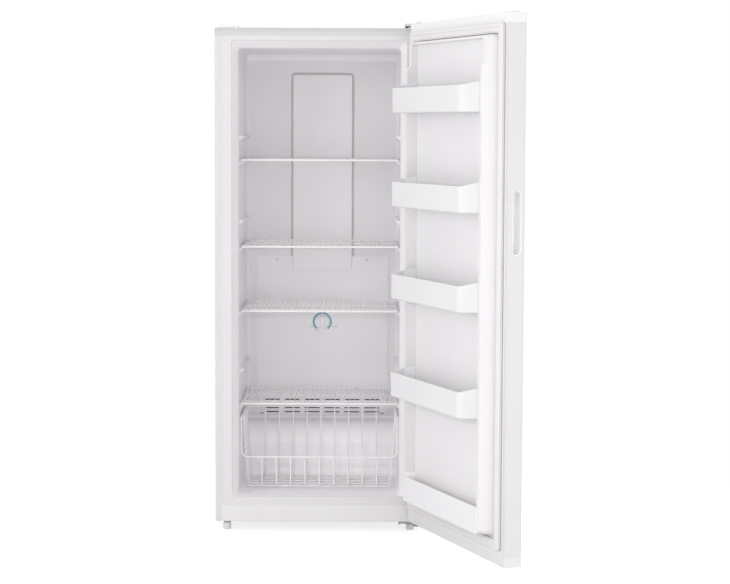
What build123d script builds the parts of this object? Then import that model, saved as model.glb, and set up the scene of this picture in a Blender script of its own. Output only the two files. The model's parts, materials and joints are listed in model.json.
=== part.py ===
from build123d import *
import os
from math import cos, radians, sin

os.makedirs("parts", exist_ok=True)

# An upright freezer that stands with its door open. Millimetres, +Z up, +Y towards the wall behind.
# The cabinet's own frame has x = 0 at its centre, y = 0 at its front face and z = 0 on the floor.
# The door's own frame turns with the door: x runs along the closed door, y into the cabinet.

# Cabinet
cabinet_width = 600
cabinet_depth = 590
cabinet_bottom = 29
cabinet_top = 1460
shell_wall = 1.0
shell_corner = 4
shell_flange = 23
rear_flange = 12
toe_flange = 17.5
running_gap = 0.3
fit_gap = 0.05
overcut = 1

# Opening and liner: how far it lies inside the cabinet, and its own places
liner_wall = 2.0
frame_side = 48
frame_top = 36
flare_depth = 45
side_insulation = 64
top_insulation = 56
rear_insulation = 160
floor_z = 102
liner_corner = 10
hump_reach = 120
hump_top = 265
hump_round = 60
cove_round = 30
hump_cove = 10

# Evaporator space and air duct
cover_side_gap = 30
cover_bottom = 276
cover_top = 776
cover_wall = 3.0
cover_corner = 6
recess_border = 6
recess_depth = 70
screw_land = 24
duct_half = 91.5
duct_drop = 64.5
duct_tongue = 45
duct_depth = 20
duct_corner = 9
duct_rim = 3.5
duct_edge = 1.2
groove_width = 7
groove_depth = 8
groove_tuck = 6

# Return grille
grille_first = 284
grille_pitch = 13
grille_rows = 4
grille_side = 18
grille_group_pitch = 62.5
slot_length = 48
slot_width = 3.6

# Machine compartment and base
foam_wall = 40
sheet = 1.5
deck_rise = 2
deck_sheet = 2.0
deck_lip = 22
cover_sheet = 1.5
tuck_flange = 15

# Bottom front cover
toe_height = 50
toe_depth = 20
toe_wall = 2.5
toe_round = 1.5

# Shelves
shelf_heights = (1080.5, 826, 636.6, 362)
spare_heights = (1154, 906, 466)
shelf_side_gap = 6
shelf_rear_gap = 30
shelf_front = 85
shelf_bar = 3.0
shelf_side_bar = 2.5
shelf_rear_bar = 2.8
shelf_side_inset = 3.2
shelf_wire = 1.25
shelf_wire_lift = 0.8
shelf_cross_drop = 0.9
shelf_wire_pitch = 15
shelf_cross_bar = 1.6
shelf_cross_places = (140, 265)
ledge_reach = 12
ledge_height = 4
ledge_slope = 10
ledge_start = 90
ledge_past = 4
ledge_ramp = 25

# Basket
basket_side_gap = 5
basket_taper = 21
basket_front = 95
basket_rear_gap = 10
basket_top = 321
basket_lip = 201
basket_floor = 110
basket_rim_wire = 2.5
basket_wire = 1.75
basket_wire_pitch = 42.5
basket_round = 20
basket_front_slope = 7
basket_rear_slope = 9
basket_bend = 8
basket_side_bend = 10
basket_side_wires = 5
basket_wire_lift = 3
basket_floor_cut = 6
runner_height = 12
runner_start = 120
runner_past = 5

# Evaporator
coil_side_gap = 34
coil_tube = 4.0
coil_bottom = 370
coil_pitch = 30
coil_passes = 6
coil_first_row = 22
coil_row_gap = 26
coil_bend = 12.5
coil_end_gap = 16
coil_joint_drop = 12
fin_side_gap = 22
fin_pitch = 25
fin_border = 13
fin_sheet = 0.8
end_plate_gap = 14
end_plate_border = 20
end_plate_front = 6
heater_rod = 3.5
heater_z = 333
heater_border = 10
heater_first_row = 24
heater_row_gap = 24
heater_end = 8
heater_turn = 18

# Drain
trough_side_gap = 16
trough_top = 304
trough_wall = 1.5
trough_front = 4
trough_coil_gap = 14
drain_x = 90
drain_row = 40
drain_tube = 8.0
drain_end = 150
drain_sleeve = 20
tray_half = 70
tray_half_depth = 75
tray_height = 45
tray_corner = 12

# Fan
fan_z = 665
fan_radius = 55
fan_hub = 15
fan_shaft = 2.0
fan_blades = 5
fan_motor_radius = 20
fan_motor_depth = 28
fan_arm = 60
fan_arm_half = 12
fan_arm_sheet = 2
fan_hub_depth = 16
fan_hub_gap = 4
fan_blade_wall = 1.6
fan_blade_width = 24
fan_blade_pitch = 35
fan_blade_root = 2

# Control
knob_z = 569
knob_radius = 20
knob_depth = 19
knob_disc = 7
knob_grip = 9
knob_grip_inset = 1.5
knob_round = 2
knob_shaft = 3.0
knob_shaft_reach = 20
dial_inner = 25
dial_outer = 29.5
dial_gap_angle = 75
dial_mark_gap = 2
dial_ink = 0.4
thermostat_half = 22
thermostat_half_height = 20
thermostat_depth = 30
thermostat_corner = 4

# Compressor
compressor_x = -120
compressor_rear_gap = 120
compressor_radius = 70
compressor_height = 128
compressor_low_round = 16
compressor_top_round = 40
compressor_foot_sheet = 2.5
mount_height = 9
mount_reach = 78
mount_inset = 12
mount_radius = 9
mount_neck = 4
mount_neck_rise = 5
relay_width = 32
relay_half_depth = 28
relay_rise = 40
relay_height = 55
relay_round = 6

# Refrigerant pipework
return_rise = 70
return_wall_gap = 20
return_bend = 13
drier_x_gap = 25
drier_radius = 9
drier_low = 45
drier_drop = 50
drier_round = 5
drier_tube = 2.5
drier_tube_bend = 7
drier_tube_turn = 30
drier_tube_tuck = 5

# Condenser loops in the side walls
loop_tube = 2.5
loop_pitch = 80
loop_first_y = 90
loop_bend = 36
loop_low = 330
loop_high = 1300

# Machine compartment cover
louvre_middle = -30
louvre_count = 26
louvre_pitch = 14
louvre_rows = 2
louvre_row_pitch = 44
louvre_length = 34
louvre_width = 5
grommet_x = 200
grommet_rise = 39
grommet_radius = 9
grommet_flange = 12
grommet_flange_depth = 4
grommet_bore = 4

# Feet and rollers
foot_inset = 32
foot_y = 30
foot_radius = 11.5
foot_drop = 8
foot_round = 1.5
foot_stem = 4.0
foot_stem_top = 60
foot_socket = 2
roller_inset = 45
roller_rear_gap = 30
roller_radius = 14
roller_width = 16
roller_round = 1.5
roller_axle = 3.0
cheek = 2.0
cheek_half = 12
cheek_drop = 7

# Fasteners
screw_head = 4.0
screw_head_height = 2.0
screw_shank = 2.0
screw_length = 14
cover_screw_inset = 66
rear_screw_inset = 30
rear_screw_rise = 12
bolt_head = 5.0
bolt_head_height = 4.0
bolt_shank = 2.5
bolt_length = 16
thread_end = 2
sheet_reach = 5
rear_sheet_reach = 10

# Hinges
hinge_inset = 11
hinge_front = 38.2
hinge_plate = 3.0
hinge_pin = 4.0
pin_reach = 25
pin_cover = 5
top_hinge_width = 44
top_hinge_rear = 62
top_hinge_side = 8
top_hinge_front = 8
top_hinge_edge = 2
top_arm_gap = 1.0
top_bolt_rows = (22, 50)
top_bolt_columns = (-27, -4)
bottom_hinge_width = 55
bottom_hinge_rear = 60
bottom_bolt_columns = (-44, -1)
bottom_bolt_rows = (30, 50)
hinge_nose = 13
hinge_hook = 6
hinge_cover_height = 14
hinge_cover_wall = 2.0
hinge_cover_front = 13
hinge_cover_past = 6
hinge_cover_corner = 5
hinge_cover_edge = 1.5

# Plugs over the unused hinge holes
plug_width = 47
plug_depth = (10, 52)
plug_height = 9
plug_corner = 5
plug_edge = 2
small_plug_gap = 9
small_plug_y = 24
small_plug_radius = 4
small_plug_height = 5

# Door
door_angle = 113.1
door_overhang = 11
door_half_thick = 25.1
door_lift = 10
door_rise = 9
cap_height = 25
cap_wall = 2.5
door_round = 6
door_return = 13
boss_radius = 9.5
boss_floor = 2
bush_radius = 6.5
bush_flange = 8.0
door_plug_inset = 17
door_plug_width = 42
door_plug_half_depth = 12
door_plug_height = 2.5
door_plug_corner = 4
door_plug_edge = 1

# Door liner
dyke_outer = 44
dyke_crest = 52
dyke_shift = 9
dyke_flat = 14
dyke_inner = 10
dyke_top_flat = 2
dyke_top_inner = 2
dyke_foot = 73
dyke_head = 51
dyke_round = 18
crest_round = 14
lip_round = 12
well_round = 8
crest_h = 70
panel_h = 45
step_drop = 133
step_crest_h = 58

# Gasket
gasket_inset = 16
gasket_width = 22
gasket_foot = 42
gasket_head = 26
gasket_corner = 8
gasket_round = 4

# Door bins: how far each one's floor lies below the door's top
bin_drops = (253, 514, 773, 1050)
bin_height = 70
bin_rise = 17
bin_front_h = 113.7
bin_hinge_end = 57
bin_free_gap = 101
bin_side_gap = 1
bin_wall = 2.5
bin_corner = 22
bin_hinge_corner = 4
bin_bottom_round = 5
retainer_foot = 6
retainer_height = 71
retainer_wall = 3.0
retainer_inset = 5
retainer_corner = 8
retainer_lug = 30
retainer_rise = 10

# Handle pocket
pocket_low = 850
pocket_high = 1017
pocket_width = 26
pocket_depth = 30
pocket_wall = 1.5
pocket_centre_h = -1.1

# Places that follow from the sizes
right_edge = cabinet_width / 2
opening_half = right_edge - frame_side
opening_top = cabinet_top - frame_top
liner_half = right_edge - side_insulation
ceiling_z = cabinet_top - top_insulation
rear_y = cabinet_depth - rear_insulation
recess_rear = rear_y + recess_depth
hump_y = rear_y - hump_reach
toe_top = cabinet_bottom + toe_height
deck_z = cabinet_bottom + deck_rise
cover_half = liner_half - cover_side_gap
duct_top = ceiling_z - duct_drop
duct_bottom = cover_top - duct_tongue
grille_groups = int(2 * (cover_half - grille_side) / grille_group_pitch)
shelf_half = liner_half - shelf_side_gap
shelf_rear = rear_y - shelf_rear_gap
ledge_end = shelf_rear + ledge_past
basket_half = liner_half - basket_side_gap
basket_floor_half = basket_half - basket_taper
basket_side_x = basket_half - basket_rim_wire - basket_wire / 2
basket_rear = hump_y - basket_rear_gap
coil_half = cover_half - coil_side_gap
coil_ends_x = coil_half + coil_end_gap
coil_rows = (rear_y + coil_first_row, rear_y + coil_first_row + coil_row_gap)
fin_half = coil_half - fin_side_gap
end_plate_x = coil_half - end_plate_gap
heater_rows = (rear_y + heater_first_row, rear_y + heater_first_row + heater_row_gap)
trough_half = cover_half - trough_side_gap
drain_y = rear_y + drain_row
compressor_y = cabinet_depth - compressor_rear_gap
loop_runs = int((cabinet_depth - loop_first_y) / loop_pitch)
foot_x = right_edge - foot_inset
foot_height = cabinet_bottom - foot_drop
roller_x = right_edge - roller_inset
roller_y = cabinet_depth - roller_rear_gap
hinge_x = right_edge - hinge_inset
top_hinge_left = hinge_x - top_hinge_width
bottom_hinge_left = hinge_x - bottom_hinge_width
door_reach = hinge_x + right_edge
door_bottom = cabinet_bottom + door_lift
door_top = cabinet_top + door_rise
dyke_low = door_bottom + dyke_foot
dyke_high = door_top - dyke_head
step_z = door_top - step_drop
gasket_low = door_bottom + gasket_foot
gasket_high = door_top - gasket_head
bin_bottoms = [door_top - drop for drop in bin_drops]
bin_free_corner = door_reach - bin_free_gap
retainer_low = dyke_low + retainer_foot
retainer_top = retainer_low + retainer_height

# Where the model's origin lies: the middle of the floor that the freezer covers with its door open
turn_cos = cos(radians(door_angle))
turn_sin = sin(radians(door_angle))
reach_right = (
    hinge_x - (door_reach - door_round) * turn_cos + (door_half_thick - door_round) * turn_sin + door_round
)
reach_front = -hinge_front - door_reach * turn_sin + door_half_thick * turn_cos
reach_rear = cabinet_depth + screw_head_height
cabinet_x = -(reach_right - right_edge) / 2
cabinet_y = -(reach_front + reach_rear) / 2

cabinet = Plane((cabinet_x, cabinet_y, 0))
door = Plane(
    cabinet.from_local_coords((hinge_x, -hinge_front, 0)),
    x_dir=Vector(turn_cos, turn_sin, 0),
    z_dir=Vector(0, 0, 1),
)


# Placing
def level(frame, z):
    """A horizontal plane at height z; its x and y are the frame's."""
    return frame.offset(z)


def upright(frame, y):
    """A plane across the frame at depth y, facing the front; its x and y are the frame's x and z."""
    return Plane(frame.from_local_coords((0, y, 0)), x_dir=frame.x_dir, z_dir=-frame.y_dir)


def side(frame, x):
    """A plane along the frame at x, facing +x; its x and y are the frame's y and z."""
    return Plane(frame.from_local_coords((x, 0, 0)), x_dir=frame.y_dir, z_dir=frame.x_dir)


def block(frame, x, y, z, mode=Mode.ADD):
    """A box between two places along each of the frame's axes."""
    middle = Location(((x[0] + x[1]) / 2, (y[0] + y[1]) / 2, (z[0] + z[1]) / 2))
    with Locations(frame.location * middle):
        Box(x[1] - x[0], y[1] - y[0], z[1] - z[0], mode=mode)


def upright_rod(frame, x, y, z, radius, mode=Mode.ADD):
    """A round rod along z between the two heights in z."""
    with BuildSketch(level(frame, z[0])) as section:
        with Locations((x, y)):
            Circle(radius)
    extrude(section.sketch, amount=z[1] - z[0], mode=mode)


def deep_rod(frame, x, y, z, radius, mode=Mode.ADD):
    """A round rod along y between the two depths in y."""
    with BuildSketch(upright(frame, y[1])) as section:
        with Locations((x, z)):
            Circle(radius)
    extrude(section.sketch, amount=y[1] - y[0], mode=mode)


def cross_rod(frame, x, y, z, radius, mode=Mode.ADD):
    """A round rod along x between the two places in x."""
    with BuildSketch(side(frame, x[0])) as section:
        with Locations((y, z)):
            Circle(radius)
    extrude(section.sketch, amount=x[1] - x[0], mode=mode)


def bent_wire(frame, points, bend, radius):
    """A round wire through points given in the frame, with the same bend at each corner."""
    with BuildLine() as path:
        FilletPolyline(*[frame.from_local_coords(point) for point in points], radius=bend)
    with BuildSketch(Plane(origin=path.line @ 0, z_dir=path.line % 0)) as section:
        Circle(radius)
    sweep(section.sketch, path=path.line)


def arched(half, low, high, corner, mode=Mode.ADD):
    """In the sketch at hand, an outline that is square at its foot and rounded at its head."""
    with Locations((0, (low + high) / 2)):
        RectangleRounded(2 * half, high - low, corner, mode=mode)
    with Locations((0, low + corner)):
        Rectangle(2 * half, 2 * corner, mode=mode)


def save(piece, name):
    """Label a finished piece and write its file."""
    piece.part.label = name
    export_step(piece.part, f"parts/{name}.step")


# Cabinet shell
def shell_block(inset):
    """The cabinet's outer form, drawn in by inset all round but at its open bottom."""
    half = right_edge - inset
    round_by = shell_corner - inset
    with BuildPart() as form:
        block(cabinet, (-half, half), (inset, cabinet_depth - inset), (cabinet_bottom, cabinet_top - inset))
        fillet(form.edges().filter_by(Axis.Z), round_by)
        fillet(form.faces().sort_by(Axis.Z)[-1].edges(), round_by - fit_gap)
    return form.part


shell_outer = shell_block(0)
shell_inner = shell_block(shell_wall)
inner_half = right_edge - shell_wall
flange_half = right_edge - shell_flange
toe_half = right_edge - toe_flange
flange_top = cabinet_top - shell_flange
rear_half = right_edge - rear_flange
inside_rear = cabinet_depth - shell_wall

# Machine compartment: its front wall and ceiling leave the foam's thickness behind the liner's hump
step_y = hump_y + liner_wall + foam_wall
step_ceiling = hump_top - liner_wall - foam_wall - sheet

rear_stop = cabinet_depth - shell_corner
rear_lip = inside_rear - cover_sheet

# Fastener places in the cabinet's frame
cover_screw_x = cover_half - cover_screw_inset
cover_screw_places = [(x, cover_top - screw_land / 2) for x in (-cover_screw_x, cover_screw_x)]
rear_screw_x = right_edge - rear_screw_inset
rear_screw_heights = (deck_z + rear_screw_rise, step_ceiling - tuck_flange / 2)
rear_screw_places = [(x, z) for x in (-rear_screw_x, 0, rear_screw_x) for z in rear_screw_heights]
top_bolt_places = [(hinge_x + x, y) for x in top_bolt_columns for y in top_bolt_rows]
bottom_bolt_places = [(hinge_x + bottom_bolt_columns[0], y) for y in bottom_bolt_rows]
bottom_bolt_places += [(hinge_x + bottom_bolt_columns[1], bottom_bolt_rows[1])]

with BuildPart() as outer_shell:
    add(shell_outer)
    add(shell_inner, mode=Mode.SUBTRACT)
    block(cabinet, (-flange_half, flange_half), (-overcut, shell_wall + overcut),
          (cabinet_bottom - overcut, flange_top), mode=Mode.SUBTRACT)
    block(cabinet, (-toe_half, toe_half), (-overcut, shell_wall + overcut),
          (cabinet_bottom - overcut, toe_top), mode=Mode.SUBTRACT)
    block(cabinet, (-rear_half, rear_half), (inside_rear - overcut, cabinet_depth + overcut),
          (cabinet_bottom - overcut, cabinet_top - rear_flange), mode=Mode.SUBTRACT)
    for x, y in top_bolt_places:
        upright_rod(cabinet, x, y, (cabinet_top - sheet_reach, cabinet_top + sheet_reach),
                    bolt_shank + fit_gap, Mode.SUBTRACT)
save(outer_shell, "outer_shell")

with BuildPart() as back_panel:
    add(shell_inner)
    block(cabinet, (-inner_half - overcut, inner_half + overcut), (inside_rear - shell_wall, inside_rear),
          (step_ceiling + sheet, cabinet_top), mode=Mode.INTERSECT)
save(back_panel, "back_panel")


# Liner
def cavity(margin):
    """The air space inside the liner, grown by margin on every wall."""
    half = liner_half + margin
    floor = floor_z - margin
    hump = hump_y + margin
    rear = rear_y + margin
    with BuildPart() as air:
        with BuildSketch(side(cabinet, -half)):
            with BuildLine():
                FilletPolyline(
                    (flare_depth, floor),
                    (hump, floor),
                    (hump, hump_top - margin),
                    (rear, hump_top - margin),
                    (rear, ceiling_z + margin),
                    (flare_depth, ceiling_z + margin),
                    radius=(0, cove_round, hump_round - margin, hump_cove, cove_round, 0),
                    close=True,
                )
            make_face()
        extrude(amount=2 * half)
        walls = air.faces().sort_by(Axis.X)
        loop = walls[0].edges().sort_by(Axis.Y)[1:] + walls[-1].edges().sort_by(Axis.Y)[1:]
        fillet(loop, liner_corner)
        mouth_height = opening_top - floor_z + 2 * margin
        with BuildSketch(upright(cabinet, 0)):
            with Locations((0, (opening_top + floor_z) / 2)):
                RectangleRounded(2 * (opening_half + margin), mouth_height, liner_corner)
        with BuildSketch(upright(cabinet, flare_depth)):
            with Locations((0, (ceiling_z + floor_z) / 2)):
                RectangleRounded(2 * half, ceiling_z - floor_z + 2 * margin, liner_corner)
        loft()
        recess_half = cover_half - recess_border + margin
        recess_low = cover_bottom + recess_border - margin
        block(cabinet, (-recess_half, recess_half), (rear - overcut, recess_rear + margin),
              (recess_low, cover_top - screw_land + margin))
        chimney_half = duct_half - duct_rim + margin
        block(cabinet, (-chimney_half, chimney_half), (rear - overcut, rear_y + duct_depth + margin),
              (cover_top - 2 * screw_land, duct_top - duct_rim + margin))
        groove_low = cover_top - groove_tuck - margin
        with BuildSketch(upright(cabinet, rear_y + groove_depth + margin)):
            arched(duct_half + groove_width + margin, groove_low, duct_top + groove_width + margin,
                   duct_corner + groove_width)
            arched(duct_half - margin, groove_low, duct_top - margin, duct_corner, Mode.SUBTRACT)
        extrude(amount=groove_depth + margin + overcut)
    return air.part


cavity_air = cavity(0)
cavity_form = cavity(liner_wall)

side_bar_bottom = shelf_side_bar + running_gap
runner_top = basket_top - basket_rim_wire - running_gap

with BuildPart() as liner:
    add(cavity_form)
    block(cabinet, (-flange_half, flange_half), (0, liner_wall), (toe_top, flange_top))
    add(cavity_air, mode=Mode.SUBTRACT)
    for height in shelf_heights + spare_heights:
        ledge_top = height - side_bar_bottom
        for edge in (-1, 1):
            inner = edge * (liner_half - ledge_reach)
            outer = edge * (liner_half + liner_wall / 2)
            with BuildSketch(upright(cabinet, ledge_end)):
                with BuildLine():
                    Polyline(
                        (outer, ledge_top),
                        (inner, ledge_top),
                        (inner, ledge_top - ledge_height),
                        (outer, ledge_top - ledge_height - ledge_slope),
                        close=True,
                    )
                make_face()
            extrude(amount=ledge_end - ledge_start)
            with BuildSketch(level(cabinet, ledge_top - ledge_height - ledge_slope)):
                with BuildLine():
                    Polyline(
                        (edge * liner_half, ledge_start),
                        (inner, ledge_start),
                        (inner, ledge_start + ledge_ramp),
                        close=True,
                    )
                make_face()
            extrude(amount=ledge_height + ledge_slope, mode=Mode.SUBTRACT)
    upright_rod(cabinet, drain_x, drain_y, (floor_z, cover_bottom + drain_sleeve), drain_tube + running_gap,
                Mode.SUBTRACT)
    for row in coil_rows:
        upright_rod(cabinet, coil_ends_x, row, (floor_z, cover_bottom + drain_sleeve),
                    coil_tube + running_gap, Mode.SUBTRACT)
    for x, z in cover_screw_places:
        deep_rod(cabinet, x, (rear_y - sheet_reach, rear_y + sheet_reach), z, screw_shank + fit_gap,
                 Mode.SUBTRACT)
save(liner, "liner")

# Base
with BuildPart() as base_pan:
    block(cabinet, (-inner_half, inner_half), (toe_depth, step_y), (cabinet_bottom, cabinet_bottom + sheet))
    block(cabinet, (-toe_half, toe_half), (toe_depth, toe_depth + sheet), (cabinet_bottom, toe_top))
    step_top = step_ceiling + sheet
    block(cabinet, (-inner_half, inner_half), (step_y - sheet, step_y), (cabinet_bottom, step_top))
    block(cabinet, (-inner_half, inner_half), (step_y - sheet, rear_stop), (step_ceiling, step_top))
    block(cabinet, (-rear_half, rear_half), (step_y, rear_lip), (step_ceiling, step_ceiling + sheet))
    block(cabinet, (-rear_half, rear_half), (rear_lip - sheet, rear_lip),
          (step_ceiling - tuck_flange, step_ceiling + sheet))
    floor_span = (cabinet_bottom - sheet_reach, cabinet_bottom + sheet_reach)
    for edge in (-1, 1):
        upright_rod(cabinet, edge * foot_x, foot_y, floor_span, foot_stem + fit_gap, Mode.SUBTRACT)
    for x, y in bottom_bolt_places:
        upright_rod(cabinet, x, y, floor_span, bolt_shank + fit_gap, Mode.SUBTRACT)
    ceiling_span = (step_ceiling - sheet_reach, step_ceiling + sheet_reach)
    upright_rod(cabinet, drain_x, drain_y, ceiling_span, drain_tube + running_gap, Mode.SUBTRACT)
    for row in coil_rows:
        upright_rod(cabinet, coil_ends_x, row, ceiling_span, coil_tube + running_gap, Mode.SUBTRACT)
    for x, z in rear_screw_places:
        deep_rod(cabinet, x, (cabinet_depth - rear_sheet_reach, cabinet_depth), z, screw_shank + fit_gap,
                 Mode.SUBTRACT)
save(base_pan, "base_pan")

with BuildPart() as compressor_deck:
    block(cabinet, (-inner_half, inner_half), (step_y, rear_stop), (deck_z, deck_z + deck_sheet))
    block(cabinet, (-rear_half, rear_half), (step_y, rear_lip), (deck_z, deck_z + deck_sheet))
    block(cabinet, (-rear_half, rear_half), (rear_lip - deck_sheet, rear_lip), (deck_z, deck_z + deck_lip))
    for x, z in rear_screw_places:
        deep_rod(cabinet, x, (cabinet_depth - rear_sheet_reach, cabinet_depth), z, screw_shank + fit_gap,
                 Mode.SUBTRACT)
save(compressor_deck, "compressor_deck")

with BuildPart() as bottom_front_cover:
    block(cabinet, (-toe_half, toe_half), (0, toe_depth), (cabinet_bottom, toe_top))
    fillet(bottom_front_cover.faces().sort_by(Axis.Y)[0].edges().filter_by(Axis.X), toe_round)
    block(cabinet, (-toe_half + toe_wall, toe_half - toe_wall), (toe_wall, toe_depth),
          (cabinet_bottom + toe_wall, toe_top - toe_wall), mode=Mode.SUBTRACT)
save(bottom_front_cover, "bottom_front_cover")


# Condenser loops lie in shallow pockets of the foam, against the shell's side walls
def loop_points(edge):
    """The corners of one side's loop, run by run."""
    x = edge * (inner_half - loop_tube - running_gap)
    points = []
    for run in range(loop_runs):
        y = loop_first_y + run * loop_pitch
        ends = (loop_low, loop_high) if run % 2 == 0 else (loop_high, loop_low)
        points += [(x, y, ends[0]), (x, y, ends[1])]
    return points


with BuildPart() as condenser_loops:
    for edge in (-1, 1):
        bent_wire(cabinet, loop_points(edge), loop_bend, loop_tube)
save(condenser_loops, "condenser_loops")

with BuildPart() as cabinet_foam:
    add(shell_inner)
    block(cabinet, (-inner_half, inner_half), (0, liner_wall), (toe_top, flange_top), mode=Mode.SUBTRACT)
    block(cabinet, (-inner_half, inner_half), (0, toe_depth + sheet), (cabinet_bottom - overcut, toe_top),
          mode=Mode.SUBTRACT)
    block(cabinet, (-inner_half, inner_half), (0, step_y), (cabinet_bottom - overcut, cabinet_bottom + sheet),
          mode=Mode.SUBTRACT)
    block(cabinet, (-inner_half, inner_half), (step_y - sheet, cabinet_depth),
          (cabinet_bottom - overcut, step_ceiling + sheet), mode=Mode.SUBTRACT)
    block(cabinet, (-inner_half, inner_half), (inside_rear - shell_wall, cabinet_depth),
          (cabinet_bottom, cabinet_top), mode=Mode.SUBTRACT)
    add(cavity_form, mode=Mode.SUBTRACT)
    pocket_rear = loop_first_y + (loop_runs - 1) * loop_pitch + 2 * loop_tube
    for edge in (-1, 1):
        deep = edge * (inner_half - 2 * (loop_tube + running_gap))
        skin = edge * (inner_half + overcut)
        block(cabinet, (min(deep, skin), max(deep, skin)), (loop_first_y - 2 * loop_tube, pocket_rear),
              (loop_low - 2 * loop_tube, loop_high + 2 * loop_tube), mode=Mode.SUBTRACT)
        upright_rod(cabinet, edge * foot_x, foot_y, (cabinet_bottom, foot_stem_top + foot_socket),
                    foot_stem + running_gap, Mode.SUBTRACT)
    for x, y in top_bolt_places:
        upright_rod(cabinet, x, y, (cabinet_top - bolt_length, cabinet_top), bolt_shank + fit_gap,
                    Mode.SUBTRACT)
    for x, y in bottom_bolt_places:
        upright_rod(cabinet, x, y, (cabinet_bottom, cabinet_bottom + bolt_length), bolt_shank + fit_gap,
                    Mode.SUBTRACT)
    for x, z in cover_screw_places:
        deep_rod(cabinet, x, (rear_y, rear_y + screw_length), z, screw_shank + fit_gap, Mode.SUBTRACT)
    sleeve = (step_ceiling, cover_bottom + drain_sleeve)
    upright_rod(cabinet, drain_x, drain_y, sleeve, drain_tube + running_gap, Mode.SUBTRACT)
    for row in coil_rows:
        upright_rod(cabinet, coil_ends_x, row, sleeve, coil_tube + running_gap, Mode.SUBTRACT)
save(cabinet_foam, "cabinet_foam")

# Evaporator cover with the return grille, and the duct panel above it
cover_front = rear_y - cover_wall
with BuildPart() as evaporator_cover:
    block(cabinet, (-cover_half, cover_half), (cover_front, rear_y), (cover_bottom, cover_top))
    fillet(evaporator_cover.edges().filter_by(Axis.Y), cover_corner)
    for row in range(grille_rows):
        for group in range(grille_groups):
            x = (group - (grille_groups - 1) / 2) * grille_group_pitch
            z = grille_first + row * grille_pitch
            with BuildSketch(upright(cabinet, rear_y + overcut)):
                with Locations((x, z)):
                    SlotOverall(slot_length, slot_width)
            extrude(amount=cover_wall + 2 * overcut, mode=Mode.SUBTRACT)
    through_cover = (cover_front - overcut, rear_y + overcut)
    deep_rod(cabinet, 0, through_cover, knob_z, knob_shaft + running_gap, Mode.SUBTRACT)
    for x, z in cover_screw_places:
        deep_rod(cabinet, x, through_cover, z, screw_shank + fit_gap, Mode.SUBTRACT)
save(evaporator_cover, "evaporator_cover")

with BuildPart() as air_duct_panel:
    duct_front = cover_front - cover_wall
    with BuildSketch(upright(cabinet, rear_y)):
        arched(duct_half, duct_bottom, duct_top, duct_corner)
    extrude(amount=rear_y - duct_front)
    fillet(air_duct_panel.faces().sort_by(Axis.Y)[0].edges(), duct_edge)
    block(cabinet, (-duct_half, duct_half), (cover_front, rear_y), (duct_bottom, cover_top + running_gap),
          mode=Mode.SUBTRACT)
    block(cabinet, (-duct_half + duct_rim, duct_half - duct_rim), (cover_front, rear_y),
          (cover_top, duct_top - duct_corner), mode=Mode.SUBTRACT)
save(air_duct_panel, "air_duct_panel")

with BuildPart() as evaporator_coil:
    first, second = coil_rows
    joint_z = step_ceiling - coil_joint_drop
    points = [(coil_ends_x, first, joint_z), (coil_ends_x, first, coil_bottom)]
    for tube_pass in range(coil_passes):
        z = coil_bottom + tube_pass * coil_pitch
        ends = (coil_half, -coil_half) if tube_pass % 2 == 0 else (-coil_half, coil_half)
        points += [(ends[0], first, z)] * (tube_pass > 0) + [(ends[1], first, z)]
    for tube_pass in reversed(range(coil_passes)):
        z = coil_bottom + tube_pass * coil_pitch
        ends = (coil_half, -coil_half) if tube_pass % 2 == 1 else (-coil_half, coil_half)
        points += [(ends[0], second, z)] + [(ends[1], second, z)] * (tube_pass > 0)
    points += [(coil_ends_x, second, coil_bottom), (coil_ends_x, second, joint_z)]
    bent_wire(cabinet, points, coil_bend, coil_tube)
save(evaporator_coil, "evaporator_coil")

with BuildPart() as evaporator_fins:
    row_middle = sum(coil_rows) / 2
    coil_middle = coil_bottom + (coil_passes - 1) * coil_pitch / 2
    coil_height = (coil_passes - 1) * coil_pitch
    for fin in range(int(2 * fin_half / fin_pitch) + 1):
        with BuildSketch(side(cabinet, -fin_half + fin * fin_pitch)):
            with Locations((row_middle, coil_middle)):
                Rectangle(coil_row_gap + 2 * fin_border, coil_height + 2 * fin_border)
                with GridLocations(coil_row_gap, coil_pitch, 2, coil_passes):
                    Circle(coil_tube + fit_gap * 2, mode=Mode.SUBTRACT)
        extrude(amount=fin_sheet)
    for x in (-end_plate_x, end_plate_x):
        with BuildSketch(side(cabinet, x)):
            with BuildLine():
                Polyline(
                    (rear_y + end_plate_front, heater_z - heater_border),
                    (recess_rear, heater_z - heater_border),
                    (recess_rear, coil_middle + coil_height / 2 + end_plate_border),
                    (rear_y + end_plate_front, coil_middle + coil_height / 2 + end_plate_border),
                    close=True,
                )
            make_face()
            with Locations((row_middle, coil_middle)):
                with GridLocations(coil_row_gap, coil_pitch, 2, coil_passes):
                    Circle(coil_tube + fit_gap * 2, mode=Mode.SUBTRACT)
            with Locations(*[(row, heater_z) for row in heater_rows]):
                Circle(heater_rod + fit_gap * 2, mode=Mode.SUBTRACT)
        extrude(amount=sheet)
save(evaporator_fins, "evaporator_fins")

with BuildPart() as defrost_heater:
    bent_wire(
        cabinet,
        [
            (end_plate_x + heater_end, heater_rows[0], heater_z),
            (-end_plate_x - heater_turn, heater_rows[0], heater_z),
            (-end_plate_x - heater_turn, heater_rows[1], heater_z),
            (end_plate_x + heater_end, heater_rows[1], heater_z),
        ],
        heater_row_gap / 2 - running_gap,
        heater_rod,
    )
save(defrost_heater, "defrost_heater")

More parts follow.
